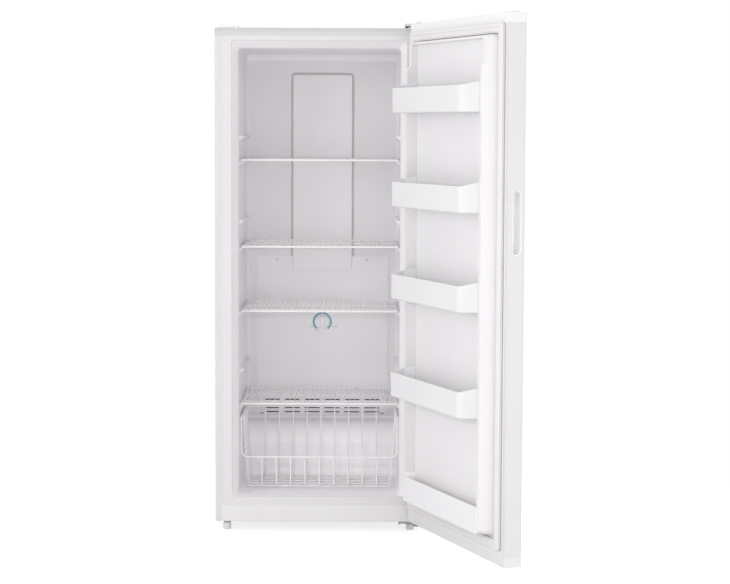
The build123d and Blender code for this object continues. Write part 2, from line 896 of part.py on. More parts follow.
# Drain
with BuildPart() as drain_trough:
    trough_bottom = cover_bottom + recess_border + running_gap
    trough_depth = (rear_y + trough_front, recess_rear - running_gap)
    trough_end = coil_ends_x - trough_coil_gap
    block(cabinet, (-trough_half, trough_end), trough_depth, (trough_bottom, trough_top))
    block(cabinet, (-trough_half + trough_wall, trough_end - trough_wall),
          (trough_depth[0] + trough_wall, trough_depth[1] - trough_wall),
          (trough_bottom + trough_wall, trough_top), mode=Mode.SUBTRACT)
    upright_rod(cabinet, drain_x, drain_y, (drain_end, trough_bottom + trough_wall), drain_tube)
    upright_rod(cabinet, drain_x, drain_y, (drain_end, trough_top), drain_tube - trough_wall, Mode.SUBTRACT)
save(drain_trough, "drain_trough")

with BuildPart() as evaporation_tray:
    tray_z = deck_z + deck_sheet
    tray_x = (drain_x - tray_half, drain_x + tray_half)
    tray_y = (drain_y - tray_half_depth, drain_y + tray_half_depth)
    block(cabinet, tray_x, tray_y, (tray_z, tray_z + tray_height))
    fillet(evaporation_tray.edges().filter_by(Axis.Z), tray_corner)
    offset(openings=evaporation_tray.faces().sort_by(Axis.Z)[-1], amount=-trough_wall)
save(evaporation_tray, "evaporation_tray")

# Fan
fan_motor_front = recess_rear - fan_motor_depth
hub_span = (fan_motor_front - fan_hub_gap - fan_hub_depth, fan_motor_front - fan_hub_gap)
with BuildPart() as fan_motor:
    arm_span = (recess_rear - fan_arm_sheet, recess_rear)
    block(cabinet, (-fan_arm, fan_arm), arm_span, (fan_z - fan_arm_half, fan_z + fan_arm_half))
    block(cabinet, (-fan_arm_half, fan_arm_half), arm_span, (fan_z - fan_arm, fan_z + fan_arm))
    deep_rod(cabinet, 0, (fan_motor_front, recess_rear - fan_arm_sheet / 2), fan_z, fan_motor_radius)
    deep_rod(cabinet, 0, (hub_span[0] - fan_hub_gap, recess_rear - fan_arm_sheet), fan_z, fan_shaft)
save(fan_motor, "fan_motor")

with BuildPart() as fan_blade:
    deep_rod(cabinet, 0, hub_span, fan_z, fan_hub)
    for blade in range(fan_blades):
        turn = Location((0, 0, 0), (0, 360 / fan_blades * blade, 0))
        reach = Location(((fan_hub - fan_blade_root + fan_radius) / 2, 0, 0), (fan_blade_pitch, 0, 0))
        centre = Location((0, (hub_span[0] + hub_span[1]) / 2, fan_z))
        with Locations(cabinet.location * centre * turn * reach):
            Box(fan_radius - fan_hub + fan_blade_root, fan_blade_wall, fan_blade_width)
    deep_rod(cabinet, 0, (hub_span[0] - overcut, hub_span[1] + overcut), fan_z, fan_shaft + fit_gap,
             Mode.SUBTRACT)
save(fan_blade, "fan_blade")

# Control
with BuildPart() as thermostat:
    block(cabinet, (-thermostat_half, thermostat_half), (rear_y, rear_y + thermostat_depth),
          (knob_z - thermostat_half_height, knob_z + thermostat_half_height))
    fillet(thermostat.edges().filter_by(Axis.Y), thermostat_corner)
    deep_rod(cabinet, 0, (rear_y - overcut, rear_y + knob_shaft_reach + running_gap), knob_z,
             knob_shaft + fit_gap, Mode.SUBTRACT)
save(thermostat, "thermostat")

with BuildPart() as control_knob:
    knob_back = cover_front - running_gap
    deep_rod(cabinet, 0, (knob_back - knob_disc, knob_back), knob_z, knob_radius)
    fillet(control_knob.faces().sort_by(Axis.Y)[0].edges(), knob_round)
    with BuildSketch(upright(cabinet, knob_back - knob_disc / 2)):
        with Locations((0, knob_z)):
            SlotOverall(2 * (knob_radius - knob_grip_inset), knob_grip, rotation=90)
    extrude(amount=knob_depth - knob_disc / 2)
    fillet(control_knob.faces().sort_by(Axis.Y)[0].edges(), knob_round)
    deep_rod(cabinet, 0, (knob_back - knob_disc / 2, rear_y + knob_shaft_reach), knob_z, knob_shaft)
save(control_knob, "control_knob")

with BuildPart() as control_dial:
    far = 2 * dial_outer
    wedge_x = far * sin(radians(dial_gap_angle / 2))
    wedge_z = knob_z - far * cos(radians(dial_gap_angle / 2))
    with BuildSketch(upright(cabinet, cover_front)):
        with Locations((0, knob_z)):
            Circle(dial_outer)
            Circle(dial_inner, mode=Mode.SUBTRACT)
            Rectangle(dial_mark_gap, far, align=(Align.CENTER, Align.MIN), mode=Mode.SUBTRACT)
        with BuildLine():
            Polyline((0, knob_z), (-wedge_x, wedge_z), (wedge_x, wedge_z), close=True)
        make_face(mode=Mode.SUBTRACT)
    extrude(amount=dial_ink)
save(control_dial, "control_dial")


# Shelves
def wire_shelf(height):
    """One shelf: a frame of bars, closely set wires from front to back, and two bars under them."""
    side_x = shelf_half - shelf_side_inset
    with BuildPart() as shelf:
        cross_rod(cabinet, (-shelf_half, shelf_half), shelf_front, height, shelf_bar)
        cross_rod(cabinet, (-shelf_half, shelf_half), shelf_rear, height, shelf_rear_bar)
        for x in (-side_x, side_x):
            deep_rod(cabinet, x, (shelf_front, shelf_rear), height, shelf_side_bar)
        for y in shelf_cross_places:
            cross_rod(cabinet, (-side_x, side_x), y, height - shelf_cross_drop, shelf_cross_bar)
        wires = int((side_x - shelf_wire_pitch / 2) / shelf_wire_pitch)
        for wire in range(-wires, wires + 1):
            deep_rod(cabinet, wire * shelf_wire_pitch, (shelf_front, shelf_rear), height + shelf_wire_lift,
                     shelf_wire)
    return shelf


for number, height in enumerate(shelf_heights, start=1):
    wire_shelf_piece = wire_shelf(height)
    save(wire_shelf_piece, f"wire_shelf_{number}")

# Basket. Its welded grids are separate solids that meet at cut faces: the floor, the four walls and the
# four corners of the rim.
def basket_wires():
    """All the basket's wires as one form, before it is cut into its grids."""
    floor_wire_z = basket_floor + basket_wire_lift
    first_side_wire = basket_front + basket_round + basket_side_bend / 2
    side_wire_pitch = (basket_rear - basket_round - basket_side_bend / 2 - first_side_wire) / (
        basket_side_wires - 1
    )
    with BuildPart() as wires:
        for edge in (-1, 1):
            bent_wire(
                cabinet,
                [
                    (0, basket_front, basket_lip),
                    (edge * basket_half, basket_front, basket_lip),
                    (edge * basket_half, basket_front, basket_top),
                    (edge * basket_half, basket_rear, basket_top),
                    (0, basket_rear, basket_top),
                ],
                basket_round,
                basket_rim_wire,
            )
        wires_out = int(basket_floor_half / basket_wire_pitch)
        for wire in range(-wires_out, wires_out + 1):
            x = wire * basket_wire_pitch
            bent_wire(
                cabinet,
                [
                    (x, basket_front + overcut, basket_lip),
                    (x, basket_front + overcut + basket_front_slope, floor_wire_z),
                    (x, basket_rear - overcut - basket_rear_slope, floor_wire_z),
                    (x, basket_rear - overcut, basket_top),
                ],
                basket_bend,
                basket_wire,
            )
        for wire in range(basket_side_wires):
            y = first_side_wire + wire * side_wire_pitch
            bent_wire(
                cabinet,
                [
                    (-basket_side_x, y, basket_top - overcut),
                    (-basket_floor_half, y, basket_floor),
                    (basket_floor_half, y, basket_floor),
                    (basket_side_x, y, basket_top - overcut),
                ],
                basket_side_bend,
                basket_wire,
            )
    return wires.part


wires = basket_wires()
basket_cuts_x = (-basket_half - basket_round, -basket_half + basket_round, basket_half - basket_round,
                 basket_half + basket_round)
basket_cuts_y = (basket_front - basket_round, basket_front + basket_round, basket_rear - basket_round,
                 basket_rear + basket_round)
basket_cut_z = basket_floor + basket_floor_cut
basket_grids = []
with BuildPart() as floor_grid:
    add(wires)
    block(cabinet, (basket_cuts_x[0], basket_cuts_x[3]), (basket_cuts_y[0], basket_cuts_y[3]),
          (floor_z, basket_cut_z), mode=Mode.INTERSECT)
basket_grids += floor_grid.solids()
for column in range(3):
    for row in range(3):
        if (column, row) != (1, 1):
            with BuildPart() as wall_grid:
                add(wires)
                block(cabinet, (basket_cuts_x[column], basket_cuts_x[column + 1]),
                      (basket_cuts_y[row], basket_cuts_y[row + 1]),
                      (basket_cut_z, basket_top + basket_round), mode=Mode.INTERSECT)
            basket_grids += wall_grid.solids()
wire_basket = Compound(basket_grids)
wire_basket.label = "wire_basket"
export_step(wire_basket, "parts/wire_basket.step")

with BuildPart() as basket_runners:
    for edge in (-1, 1):
        inner = edge * (basket_side_x + basket_wire + running_gap)
        outer = edge * liner_half
        block(cabinet, (min(inner, outer), max(inner, outer)), (runner_start, basket_rear + runner_past),
              (runner_top - runner_height, runner_top))
save(basket_runners, "basket_runners")

# Compressor and its pipework
foot_plate_z = deck_z + deck_sheet + mount_height
mount_rows = (compressor_y - mount_reach + mount_inset, compressor_y + mount_reach - mount_inset)
mount_places = [(compressor_x + x, y) for x in (-mount_reach, mount_reach) for y in mount_rows]
with BuildPart() as compressor:
    top = foot_plate_z + compressor_height
    with BuildSketch(side(cabinet, compressor_x)):
        with BuildLine():
            FilletPolyline(
                (compressor_y, foot_plate_z + compressor_foot_sheet / 2),
                (compressor_y + compressor_radius, foot_plate_z + compressor_foot_sheet / 2),
                (compressor_y + compressor_radius, top),
                (compressor_y, top),
                radius=(0, compressor_low_round, compressor_top_round, 0),
                close=True,
            )
        make_face()
    revolve(axis=Axis(cabinet.from_local_coords((compressor_x, compressor_y, 0)), (0, 0, 1)))
    block(cabinet, (compressor_x - mount_reach - mount_radius, compressor_x + mount_reach + mount_radius),
          (compressor_y - mount_reach, compressor_y + mount_reach),
          (foot_plate_z, foot_plate_z + compressor_foot_sheet))
    for x, y in mount_places:
        upright_rod(cabinet, x, y, (foot_plate_z - overcut, foot_plate_z + mount_neck_rise), mount_neck,
                    Mode.SUBTRACT)
save(compressor, "compressor")

with BuildPart() as compressor_mounts:
    for x, y in mount_places:
        upright_rod(cabinet, x, y, (deck_z + deck_sheet, foot_plate_z), mount_radius)
        upright_rod(cabinet, x, y, (foot_plate_z, foot_plate_z + mount_neck_rise), mount_neck - fit_gap)
save(compressor_mounts, "compressor_mounts")

with BuildPart() as relay_cover:
    relay_z = foot_plate_z + relay_rise
    relay_x = compressor_x + compressor_radius + running_gap
    relay_y = (compressor_y - relay_half_depth, compressor_y + relay_half_depth)
    block(cabinet, (relay_x, relay_x + relay_width), relay_y, (relay_z, relay_z + relay_height))
    fillet(relay_cover.edges().filter_by(Axis.X), relay_round)
save(relay_cover, "relay_cover")

with BuildPart() as refrigerant_tubes:
    bent_wire(
        cabinet,
        [
            (coil_ends_x, coil_rows[0], joint_z),
            (coil_ends_x, coil_rows[0], deck_z + return_rise),
            (coil_ends_x, step_y + return_wall_gap, deck_z + return_rise),
            (compressor_x, step_y + return_wall_gap, deck_z + return_rise),
            (compressor_x, compressor_y - compressor_radius - running_gap, deck_z + return_rise),
        ],
        return_bend,
        coil_tube,
    )
save(refrigerant_tubes, "refrigerant_tubes")

with BuildPart() as filter_drier:
    drier_x = coil_ends_x + drier_x_gap
    drier_top = step_ceiling - drier_drop
    upright_rod(cabinet, drier_x, coil_rows[1], (deck_z + drier_low, drier_top), drier_radius)
    fillet(filter_drier.edges(), drier_round)
    bent_wire(
        cabinet,
        [
            (coil_ends_x, coil_rows[1], joint_z),
            (coil_ends_x, coil_rows[1], step_ceiling - drier_tube_turn),
            (drier_x, coil_rows[1], step_ceiling - drier_tube_turn),
            (drier_x, coil_rows[1], drier_top - drier_tube_tuck),
        ],
        drier_tube_bend,
        drier_tube,
    )
    upright_rod(cabinet, drier_x, coil_rows[1], (deck_z + deck_sheet, deck_z + drier_low + drier_tube_tuck),
                drier_tube)
save(filter_drier, "filter_drier")

# Machine compartment cover
grommet_z = deck_z + grommet_rise
with BuildPart() as machine_cover:
    cover_y = (rear_lip, inside_rear)
    through_sheet = (rear_lip - overcut, inside_rear + overcut)
    cover_half_width = right_edge - shell_corner
    block(cabinet, (-cover_half_width, cover_half_width), cover_y, (deck_z, step_ceiling - running_gap))
    with BuildSketch(upright(cabinet, through_sheet[1])):
        with Locations((louvre_middle, (deck_z + step_ceiling) / 2)):
            with GridLocations(louvre_pitch, louvre_row_pitch, louvre_count, louvre_rows):
                SlotOverall(louvre_length, louvre_width, rotation=90)
    extrude(amount=through_sheet[1] - through_sheet[0], mode=Mode.SUBTRACT)
    deep_rod(cabinet, grommet_x, through_sheet, grommet_z, grommet_radius, Mode.SUBTRACT)
    for x, z in rear_screw_places:
        deep_rod(cabinet, x, through_sheet, z, screw_shank + fit_gap, Mode.SUBTRACT)
save(machine_cover, "machine_cover")

with BuildPart() as cord_grommet:
    flange_y = cover_y[0] - grommet_flange_depth
    deep_rod(cabinet, grommet_x, (flange_y, cover_y[0]), grommet_z, grommet_flange)
    deep_rod(cabinet, grommet_x, (flange_y, reach_rear), grommet_z, grommet_radius - fit_gap)
    deep_rod(cabinet, grommet_x, (flange_y - overcut, reach_rear + overcut), grommet_z, grommet_bore,
             Mode.SUBTRACT)
save(cord_grommet, "cord_grommet")

# Rollers under the deck
with BuildPart() as roller_brackets:
    for edge in (-1, 1):
        for cheek_side in (-1, 1):
            inner = edge * roller_x + cheek_side * (roller_width / 2 + running_gap)
            outer = inner + cheek_side * cheek
            block(cabinet, (min(inner, outer), max(inner, outer)),
                  (roller_y - cheek_half, roller_y + cheek_half), (roller_radius - cheek_drop, deck_z))
        cross_rod(cabinet, (edge * roller_x - roller_width, edge * roller_x + roller_width), roller_y,
                  roller_radius, roller_axle + fit_gap, Mode.SUBTRACT)
save(roller_brackets, "roller_brackets")

with BuildPart() as roller_axles:
    for edge in (-1, 1):
        half = roller_width / 2 + running_gap + cheek
        cross_rod(cabinet, (edge * roller_x - half, edge * roller_x + half), roller_y, roller_radius,
                  roller_axle)
save(roller_axles, "roller_axles")

for name, edge in (("left_roller", -1), ("right_roller", 1)):
    with BuildPart() as roller:
        half = roller_width / 2
        cross_rod(cabinet, (edge * roller_x - half, edge * roller_x + half), roller_y, roller_radius,
                  roller_radius)
        fillet(roller.edges(), roller_round)
        cross_rod(cabinet, (edge * roller_x - half, edge * roller_x + half), roller_y, roller_radius,
                  roller_axle + fit_gap, Mode.SUBTRACT)
    save(roller, name)

# Levelling feet
for name, edge in (("left_foot", -1), ("right_foot", 1)):
    with BuildPart() as foot:
        upright_rod(cabinet, edge * foot_x, foot_y, (0, foot_height), foot_radius)
        fillet(foot.edges(), foot_round)
        upright_rod(cabinet, edge * foot_x, foot_y, (foot_height, foot_stem_top), foot_stem)
    save(foot, name)

# Hinges
bracket_z = cabinet_bottom - hinge_plate
with BuildPart() as bottom_hinge_bracket:
    block(cabinet, (bottom_hinge_left, right_edge), (0, bottom_hinge_rear), (bracket_z, cabinet_bottom))
    block(cabinet, (hinge_x - hinge_nose, right_edge), (-hinge_front, overcut), (bracket_z, cabinet_bottom))
    upright_rod(cabinet, hinge_x, -hinge_front, (bracket_z, cabinet_bottom), hinge_nose)
    block(cabinet, (bottom_hinge_left, hinge_x - hinge_nose), (0, hinge_plate),
          (bracket_z - hinge_plate, cabinet_bottom))
    block(cabinet, (bottom_hinge_left, bottom_hinge_left + hinge_plate), (0, hinge_nose),
          (bracket_z - hinge_hook, cabinet_bottom))
    through_plate = (bracket_z - overcut, cabinet_bottom + overcut)
    upright_rod(cabinet, hinge_x, -hinge_front, through_plate, hinge_pin, Mode.SUBTRACT)
    upright_rod(cabinet, foot_x, foot_y, through_plate, foot_stem + running_gap, Mode.SUBTRACT)
    for x, y in bottom_bolt_places:
        upright_rod(cabinet, x, y, through_plate, bolt_shank + fit_gap, Mode.SUBTRACT)
save(bottom_hinge_bracket, "bottom_hinge_bracket")

arm_z = door_top + top_arm_gap
arm_top = arm_z + hinge_plate
with BuildPart() as top_hinge_bracket:
    arm_x = (hinge_x - hinge_nose, right_edge - top_hinge_edge)
    riser_y = (top_hinge_front, top_hinge_front + hinge_plate)
    block(cabinet, (top_hinge_left + top_hinge_side, arm_x[1]), (top_hinge_front, top_hinge_rear),
          (cabinet_top, cabinet_top + hinge_plate))
    block(cabinet, arm_x, riser_y, (cabinet_top, arm_top))
    block(cabinet, arm_x, (-hinge_front, riser_y[1]), (arm_z, arm_top))
    upright_rod(cabinet, hinge_x, -hinge_front, (arm_z, arm_top), hinge_nose)
    upright_rod(cabinet, hinge_x, -hinge_front, (arm_z - overcut, arm_top + overcut), hinge_pin,
                Mode.SUBTRACT)
    for x, y in top_bolt_places:
        upright_rod(cabinet, x, y, (cabinet_top - overcut, cabinet_top + hinge_plate + overcut),
                    bolt_shank + fit_gap, Mode.SUBTRACT)
save(top_hinge_bracket, "top_hinge_bracket")

with BuildPart() as hinge_pins:
    upright_rod(cabinet, hinge_x, -hinge_front, (bracket_z, door_bottom + pin_reach - pin_cover), hinge_pin)
    upright_rod(cabinet, hinge_x, -hinge_front, (door_top - pin_reach + pin_cover, arm_top), hinge_pin)
save(hinge_pins, "hinge_pins")

with BuildPart() as top_hinge_cover:
    hood_rear = top_hinge_rear + hinge_cover_past
    hood_top = cabinet_top + hinge_cover_height
    block(cabinet, (top_hinge_left, right_edge), (hinge_cover_front, hood_rear), (cabinet_top, hood_top))
    fillet(top_hinge_cover.edges().filter_by(Axis.Z), hinge_cover_corner)
    fillet(top_hinge_cover.faces().sort_by(Axis.Z)[-1].edges(), hinge_cover_edge)
    block(cabinet, (top_hinge_left + hinge_cover_wall, right_edge - hinge_cover_wall / 2),
          (hinge_cover_front - overcut, hood_rear - hinge_cover_wall),
          (cabinet_top, hood_top - hinge_cover_wall), mode=Mode.SUBTRACT)
save(top_hinge_cover, "top_hinge_cover")

with BuildPart() as hinge_hole_plugs:
    plug_end = plug_width - hinge_x
    block(cabinet, (-hinge_x, plug_end), plug_depth, (cabinet_top, cabinet_top + plug_height))
    fillet(hinge_hole_plugs.edges().filter_by(Axis.Z), plug_corner)
    fillet(hinge_hole_plugs.faces().sort_by(Axis.Z)[-1].edges(), plug_edge)
    upright_rod(cabinet, plug_end + small_plug_gap, small_plug_y,
                (cabinet_top, cabinet_top + small_plug_height), small_plug_radius)
save(hinge_hole_plugs, "hinge_hole_plugs")

# Fasteners: identical ones share a node
with BuildPart() as panel_screws:
    for x, z in cover_screw_places:
        deep_rod(cabinet, x, (cover_front - screw_head_height, cover_front), z, screw_head)
        deep_rod(cabinet, x, (cover_front, rear_y + screw_length - thread_end), z, screw_shank)
    for x, z in rear_screw_places:
        deep_rod(cabinet, x, (inside_rear, reach_rear), z, screw_head)
        deep_rod(cabinet, x, (inside_rear - screw_length, inside_rear), z, screw_shank)
save(panel_screws, "panel_screws")

with BuildPart() as hinge_bolts:
    for x, y in top_bolt_places:
        with BuildSketch(level(cabinet, cabinet_top + hinge_plate)):
            with Locations((x, y)):
                RegularPolygon(bolt_head, 6)
        extrude(amount=bolt_head_height)
        upright_rod(cabinet, x, y, (cabinet_top - bolt_length + thread_end, cabinet_top + hinge_plate),
                    bolt_shank)
    for x, y in bottom_bolt_places:
        with BuildSketch(level(cabinet, bracket_z - bolt_head_height)):
            with Locations((x, y)):
                RegularPolygon(bolt_head, 6)
        extrude(amount=bolt_head_height)
        upright_rod(cabinet, x, y, (bracket_z, cabinet_bottom + bolt_length - thread_end), bolt_shank)
save(hinge_bolts, "hinge_bolts")


# Door. Along the door, x is minus the distance from the hinge axis towards the free edge.
def door_block(inset, z):
    """The door's outer form between two heights, drawn in by inset."""
    thick = door_half_thick - inset
    with BuildPart() as form:
        block(door, (-door_reach + inset, door_overhang - inset), (-thick, thick), z)
        outer_face = form.faces().sort_by(Axis(door.origin, door.y_dir))[0]
        fillet(outer_face.edges().filter_by(Axis.Z), door_round - inset)
    return form.part


def door_core(margin):
    """The raised frame of the door liner, with the panel inside it, drawn in by margin."""
    far_end = door_reach - dyke_shift
    base = (dyke_outer + margin, far_end - dyke_outer - margin)
    crest = (dyke_crest + margin, far_end - dyke_crest - margin)
    lip = (dyke_crest + dyke_flat - margin, far_end - dyke_crest - dyke_flat + margin)
    well = (lip[0] + dyke_inner, lip[1] - dyke_inner)
    low, high = dyke_low + margin, dyke_high - margin
    drop = dyke_crest - dyke_outer
    lip_low = dyke_low + drop + dyke_flat - margin
    lip_high = dyke_high - drop - dyke_top_flat + margin

    def outline(depth, across, heights, corner):
        with BuildSketch(upright(door, depth)) as section:
            with Locations((-(across[0] + across[1]) / 2, (heights[0] + heights[1]) / 2)):
                RectangleRounded(across[1] - across[0], heights[1] - heights[0], corner)
        return section.sketch.face()

    with BuildPart() as core:
        loft([
            outline(door_half_thick - margin, base, (low, high), dyke_round),
            outline(crest_h - margin, crest, (low + drop, high - drop), crest_round),
        ])
        loft([
            outline(panel_h - margin, well, (lip_low + dyke_inner, lip_high - dyke_top_inner), well_round),
            outline(crest_h - margin, lip, (lip_low, lip_high), lip_round),
        ], mode=Mode.SUBTRACT)
        with BuildSketch(side(door, -door_reach)):
            with BuildLine():
                fall = crest_h - step_crest_h
                Polyline(
                    (step_crest_h - margin, step_z + fall),
                    (crest_h + fall, step_z - fall),
                    (crest_h + fall, door_top),
                    (step_crest_h - margin, door_top),
                    close=True,
                )
            make_face()
        extrude(amount=door_reach + door_overhang, mode=Mode.SUBTRACT)
    return core.part


panel_low = door_bottom + cap_height
panel_high = door_top - cap_height
plate_span = (-door_reach + door_return, door_overhang - door_return)
core_outer = door_core(0)
core_inner = door_core(liner_wall)


def handle_slot(outer, depth, mode):
    """The handle pocket's slot in the free edge, drawn in by outer and cut to a depth."""
    with BuildSketch(side(door, -door_reach - overcut)) as section:
        with Locations((pocket_centre_h, (pocket_low + pocket_high) / 2)):
            SlotOverall(pocket_high - pocket_low - 2 * outer, pocket_width - 2 * outer, rotation=90)
    extrude(section.sketch, amount=depth + overcut, mode=mode)


with BuildPart() as door_outer_panel:
    add(door_block(0, (panel_low, panel_high)))
    past_panel = (panel_low - overcut, panel_high + overcut)
    add(door_block(shell_wall, past_panel), mode=Mode.SUBTRACT)
    block(door, plate_span, (door_half_thick - liner_wall, door_half_thick + overcut), past_panel,
          mode=Mode.SUBTRACT)
    handle_slot(0, shell_wall + overcut, Mode.SUBTRACT)
save(door_outer_panel, "door_outer_panel")

plate_back = door_half_thick - liner_wall
with BuildPart() as door_liner:
    add(core_outer)
    block(door, plate_span, (plate_back, door_half_thick), (panel_low, panel_high))
    add(core_inner, mode=Mode.SUBTRACT)
save(door_liner, "door_liner")

with BuildPart() as door_foam:
    add(door_block(shell_wall, (panel_low, panel_high)))
    block(door, (-door_reach - overcut, door_overhang + overcut), (plate_back, door_half_thick + overcut),
          past_panel, mode=Mode.SUBTRACT)
    handle_slot(0, pocket_depth, Mode.SUBTRACT)
    add(core_inner)
save(door_foam, "door_foam")

with BuildPart() as handle_pocket:
    handle_slot(0, pocket_depth, Mode.ADD)
    handle_slot(pocket_wall, pocket_depth - pocket_wall, Mode.SUBTRACT)
    block(door, (-door_reach - 2 * overcut, -door_reach), (-door_half_thick, door_half_thick),
          (pocket_low - overcut, pocket_high + overcut), mode=Mode.SUBTRACT)
save(handle_pocket, "handle_pocket")


def door_cap(z, open_z, bush_z):
    """An end cap: a thin tray over the door's end, with a boss for the hinge bush."""
    with BuildPart() as cap:
        add(door_block(0, z))
        add(door_block(cap_wall, open_z), mode=Mode.SUBTRACT)
        upright_rod(door, 0, 0, z, boss_radius)
        upright_rod(door, 0, 0, bush_z, bush_radius, Mode.SUBTRACT)
    return cap


top_bush = (panel_high + boss_floor, door_top)
bottom_bush = (door_bottom, panel_low - boss_floor)
door_top_cap = door_cap(
    (panel_high, door_top), (panel_high - overcut, door_top - cap_wall), (top_bush[0], door_top + overcut)
)
save(door_top_cap, "door_top_cap")
door_bottom_cap = door_cap(
    (door_bottom, panel_low), (door_bottom + cap_wall, panel_low + overcut),
    (door_bottom - overcut, bottom_bush[1])
)
save(door_bottom_cap, "door_bottom_cap")

with BuildPart() as hinge_bushes:
    body = bush_radius - fit_gap
    upright_rod(door, 0, 0, top_bush, body)
    upright_rod(door, 0, 0, bottom_bush, body)
    upright_rod(door, 0, 0, (cabinet_bottom + running_gap, door_bottom), bush_flange)
    upright_rod(door, 0, 0, (cabinet_bottom, door_top + overcut), hinge_pin + fit_gap, Mode.SUBTRACT)
save(hinge_bushes, "hinge_bushes")

with BuildPart() as door_plug:
    plug_x = door_plug_inset - door_reach
    block(door, (plug_x, plug_x + door_plug_width), (-door_plug_half_depth, door_plug_half_depth),
          (door_top, door_top + door_plug_height))
    fillet(door_plug.edges().filter_by(Axis.Z), door_plug_corner)
    fillet(door_plug.faces().sort_by(Axis.Z)[-1].edges(), door_plug_edge)
save(door_plug, "door_plug")

with BuildPart() as door_gasket:
    across = door_reach - 2 * gasket_inset + door_overhang
    middle = -(door_reach - door_overhang) / 2
    tall = gasket_high - gasket_low
    seal_face = hinge_front - running_gap
    with BuildSketch(upright(door, door_half_thick)):
        with Locations((middle, (gasket_low + gasket_high) / 2)):
            RectangleRounded(across, tall, gasket_corner)
            Rectangle(across - 2 * gasket_width, tall - 2 * gasket_width, mode=Mode.SUBTRACT)
    extrude(amount=-(seal_face - door_half_thick))
    crown = door_gasket.faces().sort_by(Axis(door.origin, door.y_dir))[-1]
    fillet(crown.edges(), gasket_round)
save(door_gasket, "door_gasket")


def inside_dyke(h, margin):
    """How far from the hinge axis the raised frame's two inner faces lie at depth h."""
    share = (crest_h - h) / (crest_h - panel_h)
    near = dyke_crest + dyke_flat + dyke_inner * share + margin
    return near, door_reach - dyke_shift - near


def depth_in_door(edge):
    """How deep the middle of an edge lies in the door's frame."""
    return door.to_local_coords(edge.center()).Y


def door_bin(bottom):
    """A bin hooked inside the raised frame: floor, front and two ends that rise towards the door."""
    seat = panel_h + running_gap
    shoulder = crest_h + running_gap
    near_low, far_low = inside_dyke(seat, bin_side_gap)
    near_high, far_high = inside_dyke(shoulder, bin_side_gap)
    with BuildPart() as piece:
        with BuildSketch(level(door, bottom)) as plan:
            with BuildLine():
                FilletPolyline(
                    (-near_low, seat),
                    (-near_high, shoulder),
                    (-bin_hinge_end, shoulder),
                    (-bin_hinge_end, bin_front_h),
                    (-bin_free_corner, bin_front_h),
                    (-far_high, shoulder),
                    (-far_low, seat),
                    radius=(0, 0, 0, bin_hinge_corner, bin_corner, 0, 0),
                    close=True,
                )
            make_face()
        extrude(amount=bin_height + bin_rise)
        under = piece.faces().sort_by(Axis.Z)[0].edges()
        fillet(under.filter_by(lambda edge: depth_in_door(edge) > shoulder), bin_bottom_round)
        with BuildSketch(level(door, bottom + bin_wall)):
            offset(plan.sketch_local.face(), amount=-bin_wall)
            with Locations((-(near_low + far_low) / 2, seat)):
                Rectangle(far_low - near_low - 2 * bin_wall, 4 * bin_wall)
        extrude(amount=bin_height + bin_rise, mode=Mode.SUBTRACT)
        with BuildSketch(side(door, -door_reach)):
            with BuildLine():
                Polyline(
                    (bin_front_h + overcut, bottom + bin_height),
                    (bin_front_h - bin_wall, bottom + bin_height),
                    (seat, bottom + bin_height + bin_rise),
                    (seat, bottom + 2 * bin_height),
                    (bin_front_h + overcut, bottom + 2 * bin_height),
                    close=True,
                )
            make_face()
        extrude(amount=door_reach, mode=Mode.SUBTRACT)
    return piece


for number, bottom in enumerate(bin_bottoms, start=1):
    bin_piece = door_bin(bottom)
    save(bin_piece, f"door_bin_{number}")

with BuildPart() as door_retainer:
    retainer_back = crest_h + running_gap
    retainer_ends = (dyke_crest + retainer_inset, door_reach - dyke_shift - dyke_crest - retainer_inset)
    retainer_length = retainer_ends[1] - retainer_ends[0]
    with BuildSketch(upright(door, retainer_back)):
        with Locations((-sum(retainer_ends) / 2, (retainer_low + retainer_top) / 2)):
            RectangleRounded(retainer_length, retainer_height, retainer_corner)
    extrude(amount=-retainer_wall)
    seat = panel_h + running_gap
    for place in (0, 1):
        inner = inside_dyke(seat, bin_side_gap)[place]
        outer = inside_dyke(retainer_back, bin_side_gap)[place]
        toward = 1 if place == 0 else -1
        with BuildSketch(level(door, retainer_top - retainer_lug)):
            with BuildLine():
                Polyline(
                    (-inner, seat),
                    (-outer, retainer_back + overcut),
                    (-outer - toward * retainer_wall, retainer_back + overcut),
                    (-inner - toward * retainer_wall, seat),
                    close=True,
                )
            make_face()
        extrude(amount=retainer_lug + retainer_rise)
    with BuildSketch(side(door, -door_reach)):
        with BuildLine():
            Polyline(
                (retainer_back, retainer_top),
                (seat, retainer_top + retainer_rise),
                (seat, retainer_top + 2 * retainer_rise),
                (retainer_back + 2 * retainer_wall, retainer_top + 2 * retainer_rise),
                (retainer_back + 2 * retainer_wall, retainer_top),
                close=True,
            )
        make_face()
    extrude(amount=door_reach, mode=Mode.SUBTRACT)
save(door_retainer, "door_retainer")
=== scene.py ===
"""An upright freezer that stands with its door open: finishes, fine detail, studio light and camera."""
import json
import math

import bmesh
import bpy
from mathutils import Matrix, Vector


